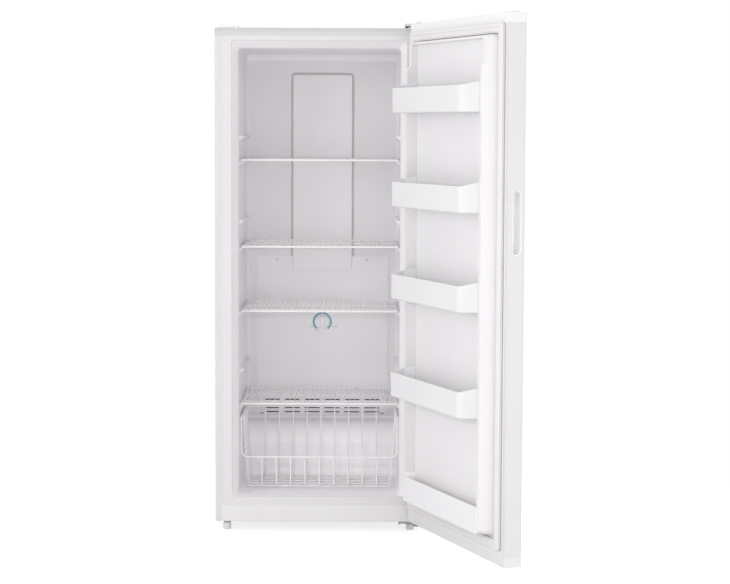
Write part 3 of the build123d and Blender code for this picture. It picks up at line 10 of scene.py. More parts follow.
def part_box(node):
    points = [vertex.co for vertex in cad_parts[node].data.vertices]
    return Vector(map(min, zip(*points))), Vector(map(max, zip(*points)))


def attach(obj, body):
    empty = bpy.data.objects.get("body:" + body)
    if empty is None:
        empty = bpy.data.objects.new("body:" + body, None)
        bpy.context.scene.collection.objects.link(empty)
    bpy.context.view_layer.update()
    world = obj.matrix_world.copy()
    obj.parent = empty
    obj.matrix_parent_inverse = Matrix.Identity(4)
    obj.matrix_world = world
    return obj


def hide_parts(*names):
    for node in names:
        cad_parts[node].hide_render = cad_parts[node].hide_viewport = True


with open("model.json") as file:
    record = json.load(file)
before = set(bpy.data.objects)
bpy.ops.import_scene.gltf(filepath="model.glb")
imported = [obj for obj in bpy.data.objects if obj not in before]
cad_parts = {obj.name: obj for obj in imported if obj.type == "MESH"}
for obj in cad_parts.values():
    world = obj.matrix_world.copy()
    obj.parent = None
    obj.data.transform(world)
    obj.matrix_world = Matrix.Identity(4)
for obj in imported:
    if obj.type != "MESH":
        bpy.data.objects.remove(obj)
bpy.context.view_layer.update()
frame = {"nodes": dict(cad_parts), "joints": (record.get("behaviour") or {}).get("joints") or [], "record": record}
nodes = frame["nodes"]
slot_of = {row["node"]: row["material_slot"] for row in frame["record"]["subparts"]}

# The frame is in metres, and MM turns millimetres into them
MM = 0.001
across = Vector((1, 0, 0))
depthwise = Vector((0, 1, 0))
upward = Vector((0, 0, 1))
cabinet_axes = (across, depthwise, upward)

# Where the cabinet and the door lie, read from the frame: the door's range starts where it is closed
shell_low, shell_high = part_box("outer_shell")
cabinet_x = (shell_low.x + shell_high.x) / 2
cabinet_front = shell_low.y
door_joint = next(joint for joint in frame["joints"] if joint["name"] == "door_hinge")
hinge = Vector(door_joint["pos_m"])
door_angle = math.radians(-door_joint["range_deg"][0])
along_door = Vector((-math.cos(door_angle), -math.sin(door_angle), 0))
into_door = Vector((-math.sin(door_angle), math.cos(door_angle), 0))


def on_cabinet(x, y, z):
    """A point given in millimetres from the cabinet's centre, front face and floor."""
    return Vector((cabinet_x + x * MM, cabinet_front + y * MM, z * MM))


def on_door(reach, depth, z):
    """A point given in millimetres along the door from its hinge, in depth and in height."""
    foot = Vector((hinge.x, hinge.y, 0))
    return foot + along_door * reach * MM + into_door * depth * MM + Vector((0, 0, z * MM))


def door_box(name):
    """A node's spans in the door's own frame: reach from the hinge, depth and height, in millimetres."""
    points = [vert.co - hinge for vert in nodes[name].data.vertices]
    measures = (
        [point.dot(along_door) for point in points],
        [point.dot(into_door) for point in points],
        [(point + hinge).z for point in points],
    )
    return [(min(values) / MM, max(values) / MM) for values in measures]


# Node trees
def fill(tree, node, values):
    """Give a node's inputs their values: another node's output, a colour of three channels, or a number."""
    for name, value in values.items():
        socket = node.inputs[name]
        if isinstance(value, bpy.types.NodeSocket):
            tree.links.new(value, socket)
        elif socket.type == "RGBA":
            socket.default_value = (*value, 1)
        else:
            socket.default_value = value


def add_node(tree, kind, values, operation=None):
    """Add a node with some of its inputs given, and return its outputs."""
    node = tree.nodes.new(kind)
    if operation:
        node.operation = operation
    fill(tree, node, values)
    return node.outputs


def cleared_tree(owner):
    """Switch a material or a world to nodes, and return its emptied tree."""
    owner.use_nodes = True
    owner.node_tree.nodes.clear()
    return owner.node_tree


def new_material(name):
    """A node material with only its shader and output."""
    material = bpy.data.materials.new(name)
    tree = cleared_tree(material)
    shader = tree.nodes.new("ShaderNodeBsdfPrincipled")
    add_node(tree, "ShaderNodeOutputMaterial", {"Surface": shader.outputs["BSDF"]})
    return material, tree, shader


# Materials: grain is a list of (scale, depth in metres), and a larger scale is finer
noise_low, noise_high = 0.3, 0.7
drift_detail = 3.0
rough_patches = 6
crystal_scale = 160
crystal_metallic = 0.85
paint_coat = 0.08
coat_rough = 0.12
zoned_coat_rough = 0.3
zoned_specular = 0.4
zoned_patch = 4.0
darker_share = 0.975
paint_grain = [(420, 0.00006), (1500, 0.00001)]
lining_grain = [(60, 0.0001), (900, 0.00002)]
mould_grain = [(1400, 0.00003)]
bin_grain = [(1400, 0.00002)]
rubber_grain = [(1300, 0.00004)]
print_grain = [(1500, 0.00001)]
crystal_grain = [(700, 0.00002)]


def object_place(tree):
    """Places in the object's own metres."""
    return add_node(tree, "ShaderNodeTexCoord", {})["Object"]


def noise(tree, scale, detail=2.0):
    """Noise in the object's own metres."""
    values = {"Vector": object_place(tree), "Scale": scale, "Detail": detail}
    return add_node(tree, "ShaderNodeTexNoise", values)["Fac"]


def spread(tree, value, low, high):
    """Noise remapped from its usual span to low and high."""
    values = {"Value": value, "From Min": noise_low, "From Max": noise_high, "To Min": low, "To Max": high}
    return add_node(tree, "ShaderNodeMapRange", values)["Result"]


def mixed(tree, share, first, second):
    """A colour between two colours by share."""
    mix = tree.nodes.new("ShaderNodeMix")
    mix.data_type = "RGBA"
    fill(tree, mix, {"Factor": share, "A": first, "B": second})
    return mix.outputs["Result"]


def drifting(tree, patch):
    """A drift between nought and one over patches of the surface."""
    return spread(tree, noise(tree, patch, drift_detail), 0, 1)


def grained(tree, shader, grains):
    """Stack bumps of the given grains on the shader's normal."""
    normal = None
    for scale, depth in grains:
        values = {"Strength": 1.0, "Distance": depth, "Height": noise(tree, scale)}
        if normal:
            values["Normal"] = normal
        normal = add_node(tree, "ShaderNodeBump", values)["Normal"]
    fill(tree, shader, {"Normal": normal})


def finish_of(name, light, dark, rough, grains, patch=7.0, metallic=0.0, coat=0.0):
    """A surface whose tone and roughness drift in patches, with fine grain on top."""
    material, tree, shader = new_material(name)
    fill(tree, shader, {
        "Base Color": mixed(tree, drifting(tree, patch), light, dark),
        "Roughness": spread(tree, noise(tree, patch * rough_patches), *rough),
        "Metallic": metallic,
        "Coat Weight": coat,
        "Coat Roughness": coat_rough,
    })
    grained(tree, shader, grains)
    return material


def spangled(name, light, dark, rough):
    """Plated or galvanised sheet: crystal patches of slightly different tone."""
    material, tree, shader = new_material(name)
    cells = add_node(tree, "ShaderNodeTexVoronoi", {"Vector": object_place(tree), "Scale": crystal_scale})
    split = add_node(tree, "ShaderNodeSeparateColor", {"Color": cells["Color"]})
    fill(tree, shader, {
        "Base Color": mixed(tree, split["Red"], light, dark),
        "Roughness": spread(tree, split["Green"], *rough),
        "Metallic": crystal_metallic,
    })
    grained(tree, shader, crystal_grain)
    return material


def shades(tone):
    """A colour and the same colour a little darker, between which a surface drifts."""
    return tone, tuple(channel * darker_share for channel in tone)


def inside_of(tree, value, limit, blend, share):
    """One where a value lies past a limit and nought elsewhere, times the share handed in."""
    values = {"Value": value, "From Min": limit - blend, "From Max": limit + blend}
    past = add_node(tree, "ShaderNodeMapRange", values)["Result"]
    return add_node(tree, "ShaderNodeMath", {0: past, 1: share}, "MULTIPLY")["Value"]


def shade_zoned(name, tone, shade_zones, rough, grains, coat=0.0, blend=0.8 * MM):
    """A finish with painted shade in some zones: each is ([(direction, from, to)], colour) in metres, the colour
    darker.
    """
    material, tree, shader = new_material(name)
    place = object_place(tree)
    drift = drifting(tree, zoned_patch)
    colour = mixed(tree, drift, *shades(tone))
    # Each zone's colour is painted shade laid over the finish
    for spans, other in shade_zones:
        share = 1.0
        for direction, low, high in spans:
            measure = add_node(tree, "ShaderNodeVectorMath", {0: place, 1: direction}, "DOT_PRODUCT")
            for limit, sign in ((low, 1), (high, -1)):
                share = inside_of(tree, measure["Value"], limit, sign * blend, share)
        colour = mixed(tree, share, colour, mixed(tree, drift, *shades(other)))
    fill(tree, shader, {
        "Base Color": colour,
        "Roughness": spread(tree, noise(tree, zoned_patch * rough_patches), *rough),
        "Specular IOR Level": zoned_specular,
        "Coat Weight": coat,
        "Coat Roughness": zoned_coat_rough,
    })
    grained(tree, shader, grains)
    return material


door_paint = finish_of("door_paint", (0.75, 0.739, 0.753), (0.737, 0.726, 0.74), (0.36, 0.46),
                       paint_grain, coat=paint_coat)
cover_lining = finish_of("cover_lining_plastic", (0.835, 0.815, 0.833), (0.815, 0.795, 0.815), (0.40, 0.50),
                         lining_grain, patch=4.0)
moulded = finish_of("moulded_plastic", (0.865, 0.852, 0.867), (0.85, 0.836, 0.852), (0.38, 0.5),
                    mould_grain, patch=9.0)
cap_plastic = finish_of("cap_plastic", (0.80, 0.788, 0.802), (0.785, 0.773, 0.787), (0.38, 0.5),
                        mould_grain, patch=9.0)
toe_plastic = finish_of("toe_plastic", (0.765, 0.748, 0.764), (0.75, 0.733, 0.749), (0.42, 0.54),
                        mould_grain, patch=9.0)
pocket_plastic = finish_of("pocket_plastic", (0.95, 0.935, 0.95), (0.93, 0.915, 0.932), (0.40, 0.50),
                           mould_grain, patch=12.0)
grey_plastic = finish_of("grey_plastic", (0.72, 0.725, 0.72), (0.68, 0.685, 0.68), (0.45, 0.58),
                         [(1100, 0.00005)], patch=12.0)
foot_plastic = finish_of("foot_plastic", (0.84, 0.81, 0.80), (0.76, 0.735, 0.72), (0.5, 0.65),
                         [(900, 0.00008)], patch=25.0)
dark_plastic = finish_of("dark_plastic", (0.05, 0.05, 0.053), (0.035, 0.035, 0.038), (0.5, 0.65),
                         [(900, 0.00006)], patch=14.0)
# Painted shade: near-black plastic for the clips that stand for the dark slits at the evaporator cover's lower
# corners
slit_shade_plastic = finish_of("slit_shade_plastic", (0.16, 0.145, 0.14), (0.13, 0.12, 0.115), (0.5, 0.6),
                          [(900, 0.00004)], patch=30.0)
dial_ink = finish_of("dial_ink", (0.10, 0.27, 0.36), (0.14, 0.31, 0.40), (0.35, 0.45),
                     print_grain, patch=40.0)
pale_ink = finish_of("pale_ink", (0.66, 0.78, 0.85), (0.62, 0.75, 0.83), (0.4, 0.5),
                     print_grain, patch=40.0)
grey_ink = finish_of("grey_ink", (0.36, 0.37, 0.40), (0.42, 0.43, 0.46), (0.4, 0.5),
                     print_grain, patch=60.0)
wire_coat = finish_of("coated_wire", (0.86, 0.845, 0.86), (0.835, 0.82, 0.835), (0.38, 0.48),
                      [(260, 0.00005)], patch=20.0)
seal_rubber = finish_of("seal_rubber", (0.80, 0.784, 0.798), (0.765, 0.748, 0.762), (0.55, 0.68),
                        rubber_grain, patch=11.0)
# Painted shade: a darker rubber for the faces in the gasket's grooves
painted_groove_shade = finish_of("painted_groove_shade", (0.62, 0.60, 0.62), (0.58, 0.56, 0.58), (0.6, 0.7),
                          rubber_grain, patch=11.0)
black_rubber = finish_of("black_rubber", (0.035, 0.035, 0.036), (0.025, 0.025, 0.026), (0.65, 0.8),
                         [(900, 0.0001)], patch=20.0)
black_enamel = finish_of("black_enamel", (0.02, 0.02, 0.021), (0.03, 0.03, 0.032), (0.28, 0.42),
                         [(500, 0.0001)], patch=10.0, coat=0.3)
hinge_paint = finish_of("hinge_paint", (0.60, 0.61, 0.60), (0.55, 0.56, 0.55), (0.4, 0.5),
                        [(700, 0.00004)], patch=30.0)
white_metal = finish_of("white_screw", (0.74, 0.72, 0.735), (0.70, 0.68, 0.70), (0.38, 0.5),
                        [(900, 0.00003)], patch=30.0)
copper = finish_of("copper_tube", (0.72, 0.40, 0.26), (0.55, 0.27, 0.17), (0.28, 0.45),
                   [(800, 0.00003)], patch=30.0, metallic=1.0)
aluminium = finish_of("aluminium", (0.78, 0.79, 0.80), (0.68, 0.69, 0.70), (0.32, 0.45),
                      [(600, 0.00003)], patch=18.0, metallic=0.95)
steel = finish_of("bright_steel", (0.66, 0.66, 0.67), (0.55, 0.55, 0.56), (0.26, 0.4),
                  [(900, 0.00003)], patch=35.0, metallic=1.0)
foam = finish_of("foam", (0.80, 0.70, 0.46), (0.74, 0.63, 0.40), (0.8, 0.95),
                 [(300, 0.0004), (1100, 0.0001)], patch=15.0)
zinc = spangled("zinc_plate", (0.36, 0.40, 0.37), (0.27, 0.31, 0.285), (0.34, 0.5))
galvanised = spangled("galvanised_sheet", (0.66, 0.67, 0.69), (0.54, 0.55, 0.57), (0.4, 0.55))

# Limits of the zones that get painted shade, a darker tone, with far past them all
far = 5.0
flange_end = cabinet_front + 3 * MM
folded_front = cabinet_front + 1.2 * MM
top_strip = shell_high.z - 11.5 * MM
top_band = shell_high.z - 24 * MM
back_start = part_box("air_duct_panel")[1].y - 1.5 * MM
recess_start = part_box("evaporator_cover")[1].y + 12 * MM
hinge_reach = hinge.dot(along_door)
raised_start = hinge_reach + 64 * MM
raised_end = hinge_reach + 78 * MM
raised_foot = 200 * MM
raised_top = shell_high.z - 35 * MM
bin_turn = hinge_reach + (door_box("door_outer_panel")[0][1] - 101) * MM

# Painted shade in the lining: darker on its front flange and back wall, near black in the recess behind the
# evaporator cover's slots
lining = shade_zoned(
    "lining_plastic", (0.945, 0.925, 0.945),
    [([(depthwise, -far, flange_end)], (0.715, 0.698, 0.714)),
     ([(depthwise, back_start, far)], (0.81, 0.79, 0.808)),
     ([(depthwise, recess_start, far)], (0.085, 0.07, 0.062))],
    (0.42, 0.52), lining_grain,
)
# Painted reflection and shade: the top strip and band of the cabinet's front face are a darker grey
painted = shade_zoned(
    "painted_steel", (0.685, 0.669, 0.687),
    [([(depthwise, -far, folded_front), (upward, top_strip, far)], (0.565, 0.565, 0.56)),
     ([(depthwise, -far, folded_front), (upward, top_band, top_strip)], (0.62, 0.61, 0.62))],
    (0.34, 0.44), paint_grain, coat=paint_coat,
)
# Painted shade: the hinge-side slope of the door lining's raised frame is a darker tone
door_lining = shade_zoned(
    "door_lining_plastic", (0.838, 0.822, 0.838),
    [([(along_door, raised_start, raised_end), (upward, raised_foot, raised_top)], (0.69, 0.675, 0.69))],
    (0.38, 0.48), lining_grain,
)
# Painted shade: the bins' free ends are a darker tone, which dims their highlight
bin_plastic = shade_zoned(
    "bin_plastic", (0.80, 0.793, 0.807),
    [([(along_door, bin_turn, far)], (0.735, 0.728, 0.742))],
    (0.46, 0.56), bin_grain, blend=12 * MM,
)

slot_finishes = {
    "white_steel": painted,
    "white_liner": lining,
    "white_plastic": moulded,
    "grey_plastic": grey_plastic,
    "dark_plastic": dark_plastic,
    "dial_blue": dial_ink,
    "foam": foam,
    "coated_wire": wire_coat,
    "aluminium": aluminium,
    "copper": copper,
    "gasket_white": seal_rubber,
    "black_rubber": black_rubber,
    "black_steel": black_enamel,
    "screw_steel": steel,
    "zinc_steel": zinc,
}
own_finishes = {
    "door_outer_panel": door_paint,
    "door_liner": door_lining,
    "door_bottom_cap": cap_plastic,
    "door_retainer": moulded,
    "handle_pocket": pocket_plastic,
    "basket_runners": lining,
    "evaporator_cover": cover_lining,
    "air_duct_panel": cover_lining,
    # Painted shade: the drain trough behind the cover's slots is given dark plastic, so that the slots look dark
    "drain_trough": dark_plastic,
    "bottom_front_cover": toe_plastic,
    "base_pan": galvanised,
    "compressor_deck": galvanised,
    "left_foot": foot_plastic,
    "right_foot": foot_plastic,
    "top_hinge_bracket": hinge_paint,
    "top_hinge_cover": grey_plastic,
}
own_finishes.update({name: bin_plastic for name in nodes if name.startswith("door_bin_")})

for name, node in nodes.items():
    node.data.materials.clear()
    node.data.materials.append(own_finishes.get(name, slot_finishes[slot_of[name]]))

# Sizes of the detail, in millimetres and degrees
merge_gap = 0.001
gentle_angle = 38
gasket_corner = 8
gasket_rise = 12.8
tip_radius = 1.0
tip_length = 1.5
head_height = 2.0
recess_depth = 1.1
foot_skirt = 21
foot_flute = 0.7
stem_radius = 4
thread_pitch = 1.25
thread_flank = 0.6
thread_depth = 0.5
print_lift = 0.2
dial_radius = 29.5
mark_pitch = 3.4
mark_gap = 0.9
mark_height = 2.2
mark_change = 0.7
clip_x = 189
clip_rise = 3.4
clip_width, clip_depth, clip_height = 11, 0.6, 2.8
clip_bevel = 0.2
lip_inset = 1.2
lip_drop = 4.6
lip_shortening = 5
lip_depth, lip_height = 1.6, 6.4
lip_bevel = 0.4

# A border is (start and end past the dial's radius, open angle), and a row of marks (start, width, drop)
dial_borders = ((-7.4, -4.7, 78), (0.2, 2.4, 70))
mark_rows = ((-39.5, 13, 15.3), (29, 20, 15.3), (-22.3, 14, 26.8), (11, 6, 15.3))


# Detail built on the frame
def mesh_piece(name, form, body, materials, replaced=()):
    """Turn a finished bmesh into a piece that rides a body, shaded smooth across its gentle edges."""
    bmesh.ops.remove_doubles(form, verts=form.verts, dist=merge_gap * MM)
    bmesh.ops.recalc_face_normals(form, faces=form.faces)
    mesh = bpy.data.meshes.new(name)
    form.to_mesh(mesh)
    form.free()
    mesh.shade_smooth()
    mesh.set_sharp_from_angle(angle=math.radians(gentle_angle))
    piece = bpy.data.objects.new(name, mesh)
    bpy.context.scene.collection.objects.link(piece)
    for material in materials:
        mesh.materials.append(material)
    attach(piece, body)
    if replaced:
        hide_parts(*replaced)


def solids_of(name):
    """The boxes of a node's separate solids, as (lowest corner, highest corner)."""
    form = bmesh.new()
    form.from_mesh(nodes[name].data)
    bmesh.ops.remove_doubles(form, verts=form.verts, dist=10 * merge_gap * MM)
    left = set(form.verts)
    boxes = []
    while left:
        reached = [left.pop()]
        for vert in reached:
            for edge in vert.link_edges:
                other = edge.other_vert(vert)
                if other in left:
                    left.remove(other)
                    reached.append(other)
        corners = [[vert.co[axis] for vert in reached] for axis in range(3)]
        lowest = Vector([min(values) for values in corners])
        highest = Vector([max(values) for values in corners])
        boxes.append((lowest, highest))
    form.free()
    return sorted(boxes, key=lambda box: tuple(box[0]))


def door_ring(profile, reach, height, corner, marked, turns=6):
    """A closed ring along the door's outline, with rounded corners.

    Its profile's points are (inset, depth) in millimetres, and a face that starts at a marked point
    takes the second material.
    """
    form = bmesh.new()
    rows = []
    for index, (side_x, side_z) in enumerate(((1, 1), (0, 1), (0, 0), (1, 0))):
        for turn in range(turns + 1):
            angle = math.pi / 2 * (index + turn / turns)
            row = []
            for inset, depth in profile:
                pull = max(corner, inset)
                radius = max(corner - inset, 0)
                centre_x = reach[side_x] + (pull if side_x == 0 else -pull)
                centre_z = height[side_z] + (pull if side_z == 0 else -pull)
                x = centre_x + radius * math.cos(angle)
                z = centre_z + radius * math.sin(angle)
                row.append(form.verts.new(on_door(x, depth, z)))
            rows.append(row)
    for row, following in zip(rows, rows[1:] + rows[:1]):
        for point in range(len(profile)):
            after = (point + 1) % len(profile)
            face = form.faces.new((row[point], row[after], following[after], following[point]))
            face.material_index = int(point in marked)
    bmesh.ops.dissolve_degenerate(form, edges=form.edges, dist=merge_gap * MM)
    return form


def gasket():
    """The door's seal: a foot, two bellows grooves on its outer side and a shallow groove in its face.

    Its outline's points are (inset from the outer edge, rise from the foot) in millimetres. Faces in its first
    outer groove and its face groove take a darker rubber, painted shade.
    """
    reach, depth, height = door_box("door_gasket")
    foot, face = depth
    top = gasket_rise
    outer = [(0, 0), (0, 1.5), (3.6, 2.1), (4.0, 4.3), (1.0, 5.2), (0.8, 6.8), (3.2, 7.7), (2.8, 9.2),
             (0.4, 10.0), (0.3, 11.4), (1.0, 12.4)]
    crown = [(2.2, top), (8.6, top), (9.1, top - 0.6), (9.9, top - 0.6), (10.4, top), (19.8, top)]
    inner = [(21.0, 12.3), (21.8, 11.2), (22.2, 10.4), (24.6, 10.0), (24.6, 0)]
    scale = (face - foot) / top
    profile = [(inset, foot + rise * scale) for inset, rise in outer + crown + inner]
    # Faces in these grooves take the darker rubber, painted shade
    first_groove = (1, 2, 3)
    face_groove = len(outer) + 2
    form = door_ring(profile, reach, height, gasket_corner, (*first_groove, face_groove))
    rubbers = [seal_rubber, painted_groove_shade]
    mesh_piece("door_gasket_bellows", form, "door", rubbers, ["door_gasket"])


def spun(form, profile, place, axis, lobes, segments, material=0):
    """Add a turned form that starts at a place and runs along an axis.

    Its profile is (radius, height, cut) in millimetres, with the cut made between its lobes.
    """
    turn = Vector(axis).to_track_quat("Z", "Y")
    rings = []
    for radius, height, cut in profile:
        ring = []
        for step in range(segments):
            angle = 2 * math.pi * step / segments
            spoke = radius - cut * (0.5 - 0.5 * math.cos(lobes * angle))
            flat = Vector((spoke * math.cos(angle), spoke * math.sin(angle), height)) * MM
            ring.append(form.verts.new(place + turn @ flat))
        rings.append(ring)
    faces = [form.faces.new(tuple(reversed(rings[0]))), form.faces.new(tuple(rings[-1]))]
    for ring, following in zip(rings, rings[1:]):
        for step in range(segments):
            after = (step + 1) % segments
            faces.append(form.faces.new((ring[step], ring[after], following[after], following[step])))
    for face in faces:
        face.material_index = material


def bar(form, centre, sizes):
    """Add a block of given sizes in millimetres about a centre, along the cabinet's axes."""
    corners = {}
    for signs in ((a, b, c) for a in (-1, 1) for b in (-1, 1) for c in (-1, 1)):
        halves = (axis * sign * size / 2 * MM for axis, sign, size in zip(cabinet_axes, signs, sizes))
        corners[signs] = form.verts.new(centre + sum(halves, Vector()))
    for axis in range(3):
        for sign in (-1, 1):
            loop = []
            for first, second in ((-1, -1), (1, -1), (1, 1), (-1, 1)):
                key = [first, second]
                key.insert(axis, sign)
                loop.append(corners[tuple(key)])
            form.faces.new(loop)


def screws():
    """The evaporator cover's white screws and the machine cover's bright ones, with cross recesses."""
    form = bmesh.new()
    for low, high in solids_of("panel_screws"):
        centre = (low + high) / 2
        radius = (high.x - low.x) / 2 / MM
        length = (high.y - low.y) / MM
        neck = length - head_height
        in_cover = low.y < recess_start
        outward = (0, -1, 0) if in_cover else (0, 1, 0)
        tip = Vector((centre.x, high.y if in_cover else low.y, centre.z))
        profile = [
            (tip_radius, 0, 0),
            (radius / 2, tip_length, 0),
            (radius / 2, neck, 0),
            (radius, neck, 0),
            (radius, neck + head_height * 0.4, 0),
            (radius * 0.86, neck + head_height * 0.8, 0),
            (radius * 0.68, length, 0),
            (radius * 0.56, length, radius * 0.34),
            (radius * 0.44, length - recess_depth, radius * 0.3),
        ]
        spun(form, profile, tip, outward, lobes=4, segments=48, material=0 if in_cover else 1)
    mesh_piece("panel_screws_cross", form, "cabinet", [white_metal, steel], ["panel_screws"])


def levelling_foot(side):
    """A front foot: a fluted moulding on its threaded stem."""
    low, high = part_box(f"{side}_foot")
    place = Vector(((low.x + high.x) / 2, (low.y + high.y) / 2, low.z))
    radius = (high.x - low.x) / 2 / MM
    total = (high.z - low.z) / MM
    profile = [
        (radius - 2.2, 0, 0),
        (radius - 0.6, 0.6, foot_flute),
        (radius, 2.0, foot_flute),
        (radius, foot_skirt - 2, foot_flute),
        (radius - 0.6, foot_skirt - 0.6, foot_flute),
        (radius - 2, foot_skirt, 0),
        (stem_radius, foot_skirt, 0),
    ]
    thread = foot_skirt + 1
    while thread < total - 2:
        profile += [(stem_radius, thread, 0), (stem_radius - thread_depth, thread + thread_flank, 0)]
        thread += thread_pitch
    profile += [(stem_radius, total - 1.4, 0), (stem_radius - 1, total, 0)]
    form = bmesh.new()
    spun(form, profile, place, (0, 0, 1), lobes=24, segments=96)
    mesh_piece(f"{side}_foot_fluted", form, f"{side}_foot", [foot_plastic], [f"{side}_foot"])


def printed_arc(form, radii, open_angle, centre, steps=64):
    """A thin printed band round the knob, open below by an angle in degrees."""
    start = math.radians(-90 + open_angle / 2)
    sweep = math.radians(360 - open_angle)
    rows = []
    for step in range(steps + 1):
        angle = start + sweep * step / steps
        direction = Vector((math.cos(angle), 0, math.sin(angle)))
        row = []
        for radius, lift in ((radii[0], 0), (radii[0], print_lift), (radii[1], print_lift), (radii[1], 0)):
            row.append(form.verts.new(centre + direction * radius * MM - Vector((0, lift * MM, 0))))
        rows.append(row)
    for row, following in zip(rows, rows[1:]):
        for point in range(4):
            after = (point + 1) % 4
            form.faces.new((row[point], row[after], following[after], following[point]))
    form.faces.new(rows[0])
    form.faces.new(tuple(reversed(rows[-1])))


def dial_print():
    """The pale borders of the dial's arc, and the short rows of marks at its open end and under it."""
    low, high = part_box("control_dial")
    centre = Vector(((low.x + high.x) / 2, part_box("evaporator_cover")[0].y, high.z - dial_radius * MM))
    borders = bmesh.new()
    for start, end, open_angle in dial_borders:
        printed_arc(borders, (dial_radius + start, dial_radius + end), open_angle, centre)
    mesh_piece("dial_border", borders, "cabinet", [pale_ink])
    marks = bmesh.new()
    for start, width, drop in mark_rows:
        count = round(width / mark_pitch)
        spacing = width / count
        for number in range(count):
            x = start + (number + 0.5) * spacing
            spot = centre + Vector((x * MM, -print_lift / 2 * MM, -drop * MM))
            bar(marks, spot, (spacing - mark_gap, print_lift, mark_height - mark_change * (number % 2)))
    mesh_piece("dial_marks", marks, "cabinet", [grey_ink])


def cover_slit_shade_clips():
    """Two thin near-black clips at the evaporator cover's lower corners: painted shade of the dark slits there."""
    low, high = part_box("evaporator_cover")
    middle_x = (low.x + high.x) / 2
    form = bmesh.new()
    for side_x in (-1, 1):
        x = middle_x + side_x * clip_x * MM
        spot = Vector((x, low.y - clip_depth / 2 * MM, low.z + clip_rise * MM))
        bar(form, spot, (clip_width, clip_depth, clip_height))
    bmesh.ops.bevel(form, geom=form.edges, offset=clip_bevel * MM, segments=2, affect="EDGES")
    mesh_piece("cover_slit_shade_clips", form, "cabinet", [slit_shade_plastic])


def hinge_skirt():
    """The top hinge cover's front lip, with a gap left under it for the bracket."""
    low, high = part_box("top_hinge_cover")
    centre = Vector(((low.x + high.x) / 2, low.y + lip_inset * MM, high.z - lip_drop * MM))
    form = bmesh.new()
    bar(form, centre, ((high.x - low.x) / MM - lip_shortening, lip_depth, lip_height))
    bmesh.ops.bevel(form, geom=form.edges, offset=lip_bevel * MM, segments=2, affect="EDGES")
    mesh_piece("top_hinge_lip", form, "cabinet", [grey_plastic])


gasket()
screws()
for side in ("left", "right"):
    levelling_foot(side)
dial_print()
cover_slit_shade_clips()
hinge_skirt()

# Light and stage, in metres and watts
white = (1, 1, 1)
surround_strength = 0.93
floor_size = 30
floor_tone = (0.80, 0.80, 0.80)
shown_tone = (0.30, 0.30, 0.30)
floor_glow = 0.80
fade_start, fade_end = 0.7, 1.5
lamp_target = Vector((0, 0, 0.75))


def area_light(name, place, size, power):
    """A soft rectangular lamp aimed at the middle of the object."""
    data = bpy.data.lights.new(name, "AREA")
    data.shape = "RECTANGLE"
    data.size, data.size_y = size
    data.energy = power
    lamp = bpy.data.objects.new(name, data)
    lamp.location = place
    lamp.rotation_mode = "QUATERNION"
    lamp.rotation_quaternion = (lamp_target - Vector(place)).to_track_quat("-Z", "Y")
    lamp.visible_camera = False
    bpy.context.scene.collection.objects.link(lamp)


def studio_world():
    """White surroundings: full where they are seen, mirrored or looked through, else a little dimmer."""
    world = bpy.data.worlds.new("studio")
    bpy.context.scene.world = world
    tree = cleared_tree(world)
    rays = add_node(tree, "ShaderNodeLightPath", {})
    seen = rays["Is Camera Ray"]
    for kind in ("Is Glossy Ray", "Is Transmission Ray"):
        seen = add_node(tree, "ShaderNodeMath", {0: seen, 1: rays[kind]}, "MAXIMUM")["Value"]
    surround = add_node(tree, "ShaderNodeBackground", {"Color": white, "Strength": surround_strength})
    backdrop = add_node(tree, "ShaderNodeBackground", {"Color": white, "Strength": 1.0})
    choice = {"Fac": seen, 1: surround["Background"], 2: backdrop["Background"]}
    chosen = add_node(tree, "ShaderNodeMixShader", choice)
    add_node(tree, "ShaderNodeOutputWorld", {"Surface": chosen["Shader"]})


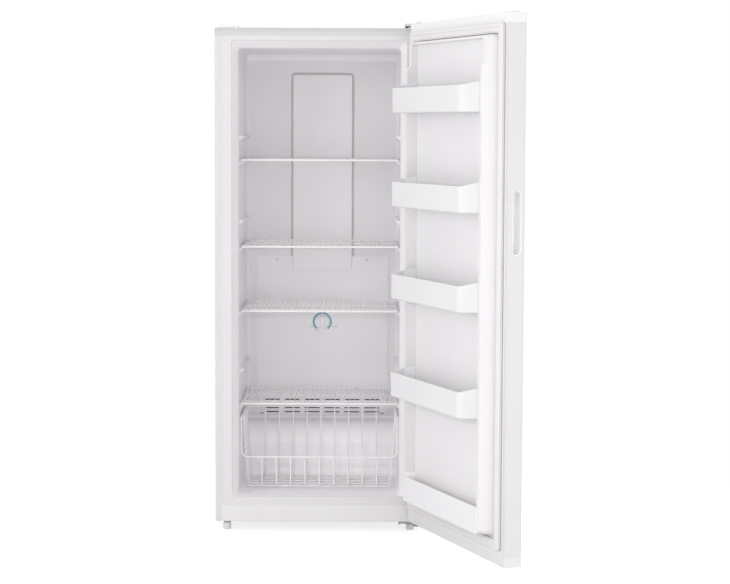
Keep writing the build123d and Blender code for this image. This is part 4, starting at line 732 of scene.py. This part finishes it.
def floor_material():
    """A pale floor that, to the camera, keeps the object's shadow near by and fades to white far off."""
    material = bpy.data.materials.new("floor")
    tree = cleared_tree(material)
    plain = add_node(tree, "ShaderNodeBsdfDiffuse", {"Color": floor_tone})
    shown = add_node(tree, "ShaderNodeBsdfDiffuse", {"Color": shown_tone})
    glow = add_node(tree, "ShaderNodeEmission", {"Strength": floor_glow})
    lit = add_node(tree, "ShaderNodeAddShader", {0: shown["BSDF"], 1: glow["Emission"]})
    blank = add_node(tree, "ShaderNodeEmission", {"Strength": 1.0})
    distance = add_node(tree, "ShaderNodeVectorMath", {0: object_place(tree)}, "LENGTH")
    span = {"Value": distance["Value"], "From Min": fade_start, "From Max": fade_end}
    fade = add_node(tree, "ShaderNodeMapRange", span)
    near_to_far = {"Fac": fade["Result"], 1: lit["Shader"], 2: blank["Emission"]}
    faded = add_node(tree, "ShaderNodeMixShader", near_to_far)
    rays = add_node(tree, "ShaderNodeLightPath", {})
    choice = {"Fac": rays["Is Camera Ray"], 1: plain["BSDF"], 2: faded["Shader"]}
    chosen = add_node(tree, "ShaderNodeMixShader", choice)
    add_node(tree, "ShaderNodeOutputMaterial", {"Surface": chosen["Shader"]})
    return material


area_light("key", (-0.25, -2.7, 1.05), (0.06, 0.06), 6.5)
area_light("left_bank", (-3.2, -3.4, 1.7), (1.8, 2.2), 35)
area_light("low_bank", (0.9, -4.2, 0.35), (1.2, 0.6), 15)
area_light("rear_bank", (0.6, 4.2, 2.4), (2.4, 1.6), 50)
studio_world()

floor_mesh = bpy.data.meshes.new("floor")
floor = bpy.data.objects.new("floor", floor_mesh)
bpy.context.scene.collection.objects.link(floor)
sheet = bmesh.new()
bmesh.ops.create_grid(sheet, x_segments=1, y_segments=1, size=floor_size)
sheet.to_mesh(floor_mesh)
sheet.free()
floor_mesh.materials.append(floor_material())

# Camera, as the photograph was taken: pixels of the picture, millimetres on the sensor and degrees
image_width = 730
focal_pixels = 1773.7
shift_pixels = -29
sensor = 36
pitch = math.radians(4.287)
roll = math.radians(0.237)
camera_data = bpy.data.cameras.new("camera")
camera_data.sensor_width = sensor
camera_data.lens = focal_pixels * sensor / image_width
camera_data.shift_y = shift_pixels / image_width
camera_data.clip_end = 100
camera = bpy.data.objects.new("camera", camera_data)
camera.location = on_cabinet(133.3, -5107.6, 1169.0)
aim = Matrix.Rotation(math.pi / 2 - pitch, 3, "X") @ Matrix.Rotation(roll, 3, "Z")
camera.rotation_euler = aim.to_euler()
bpy.context.scene.collection.objects.link(camera)
bpy.context.scene.camera = camera
bpy.context.scene.view_settings.view_transform = "Standard"
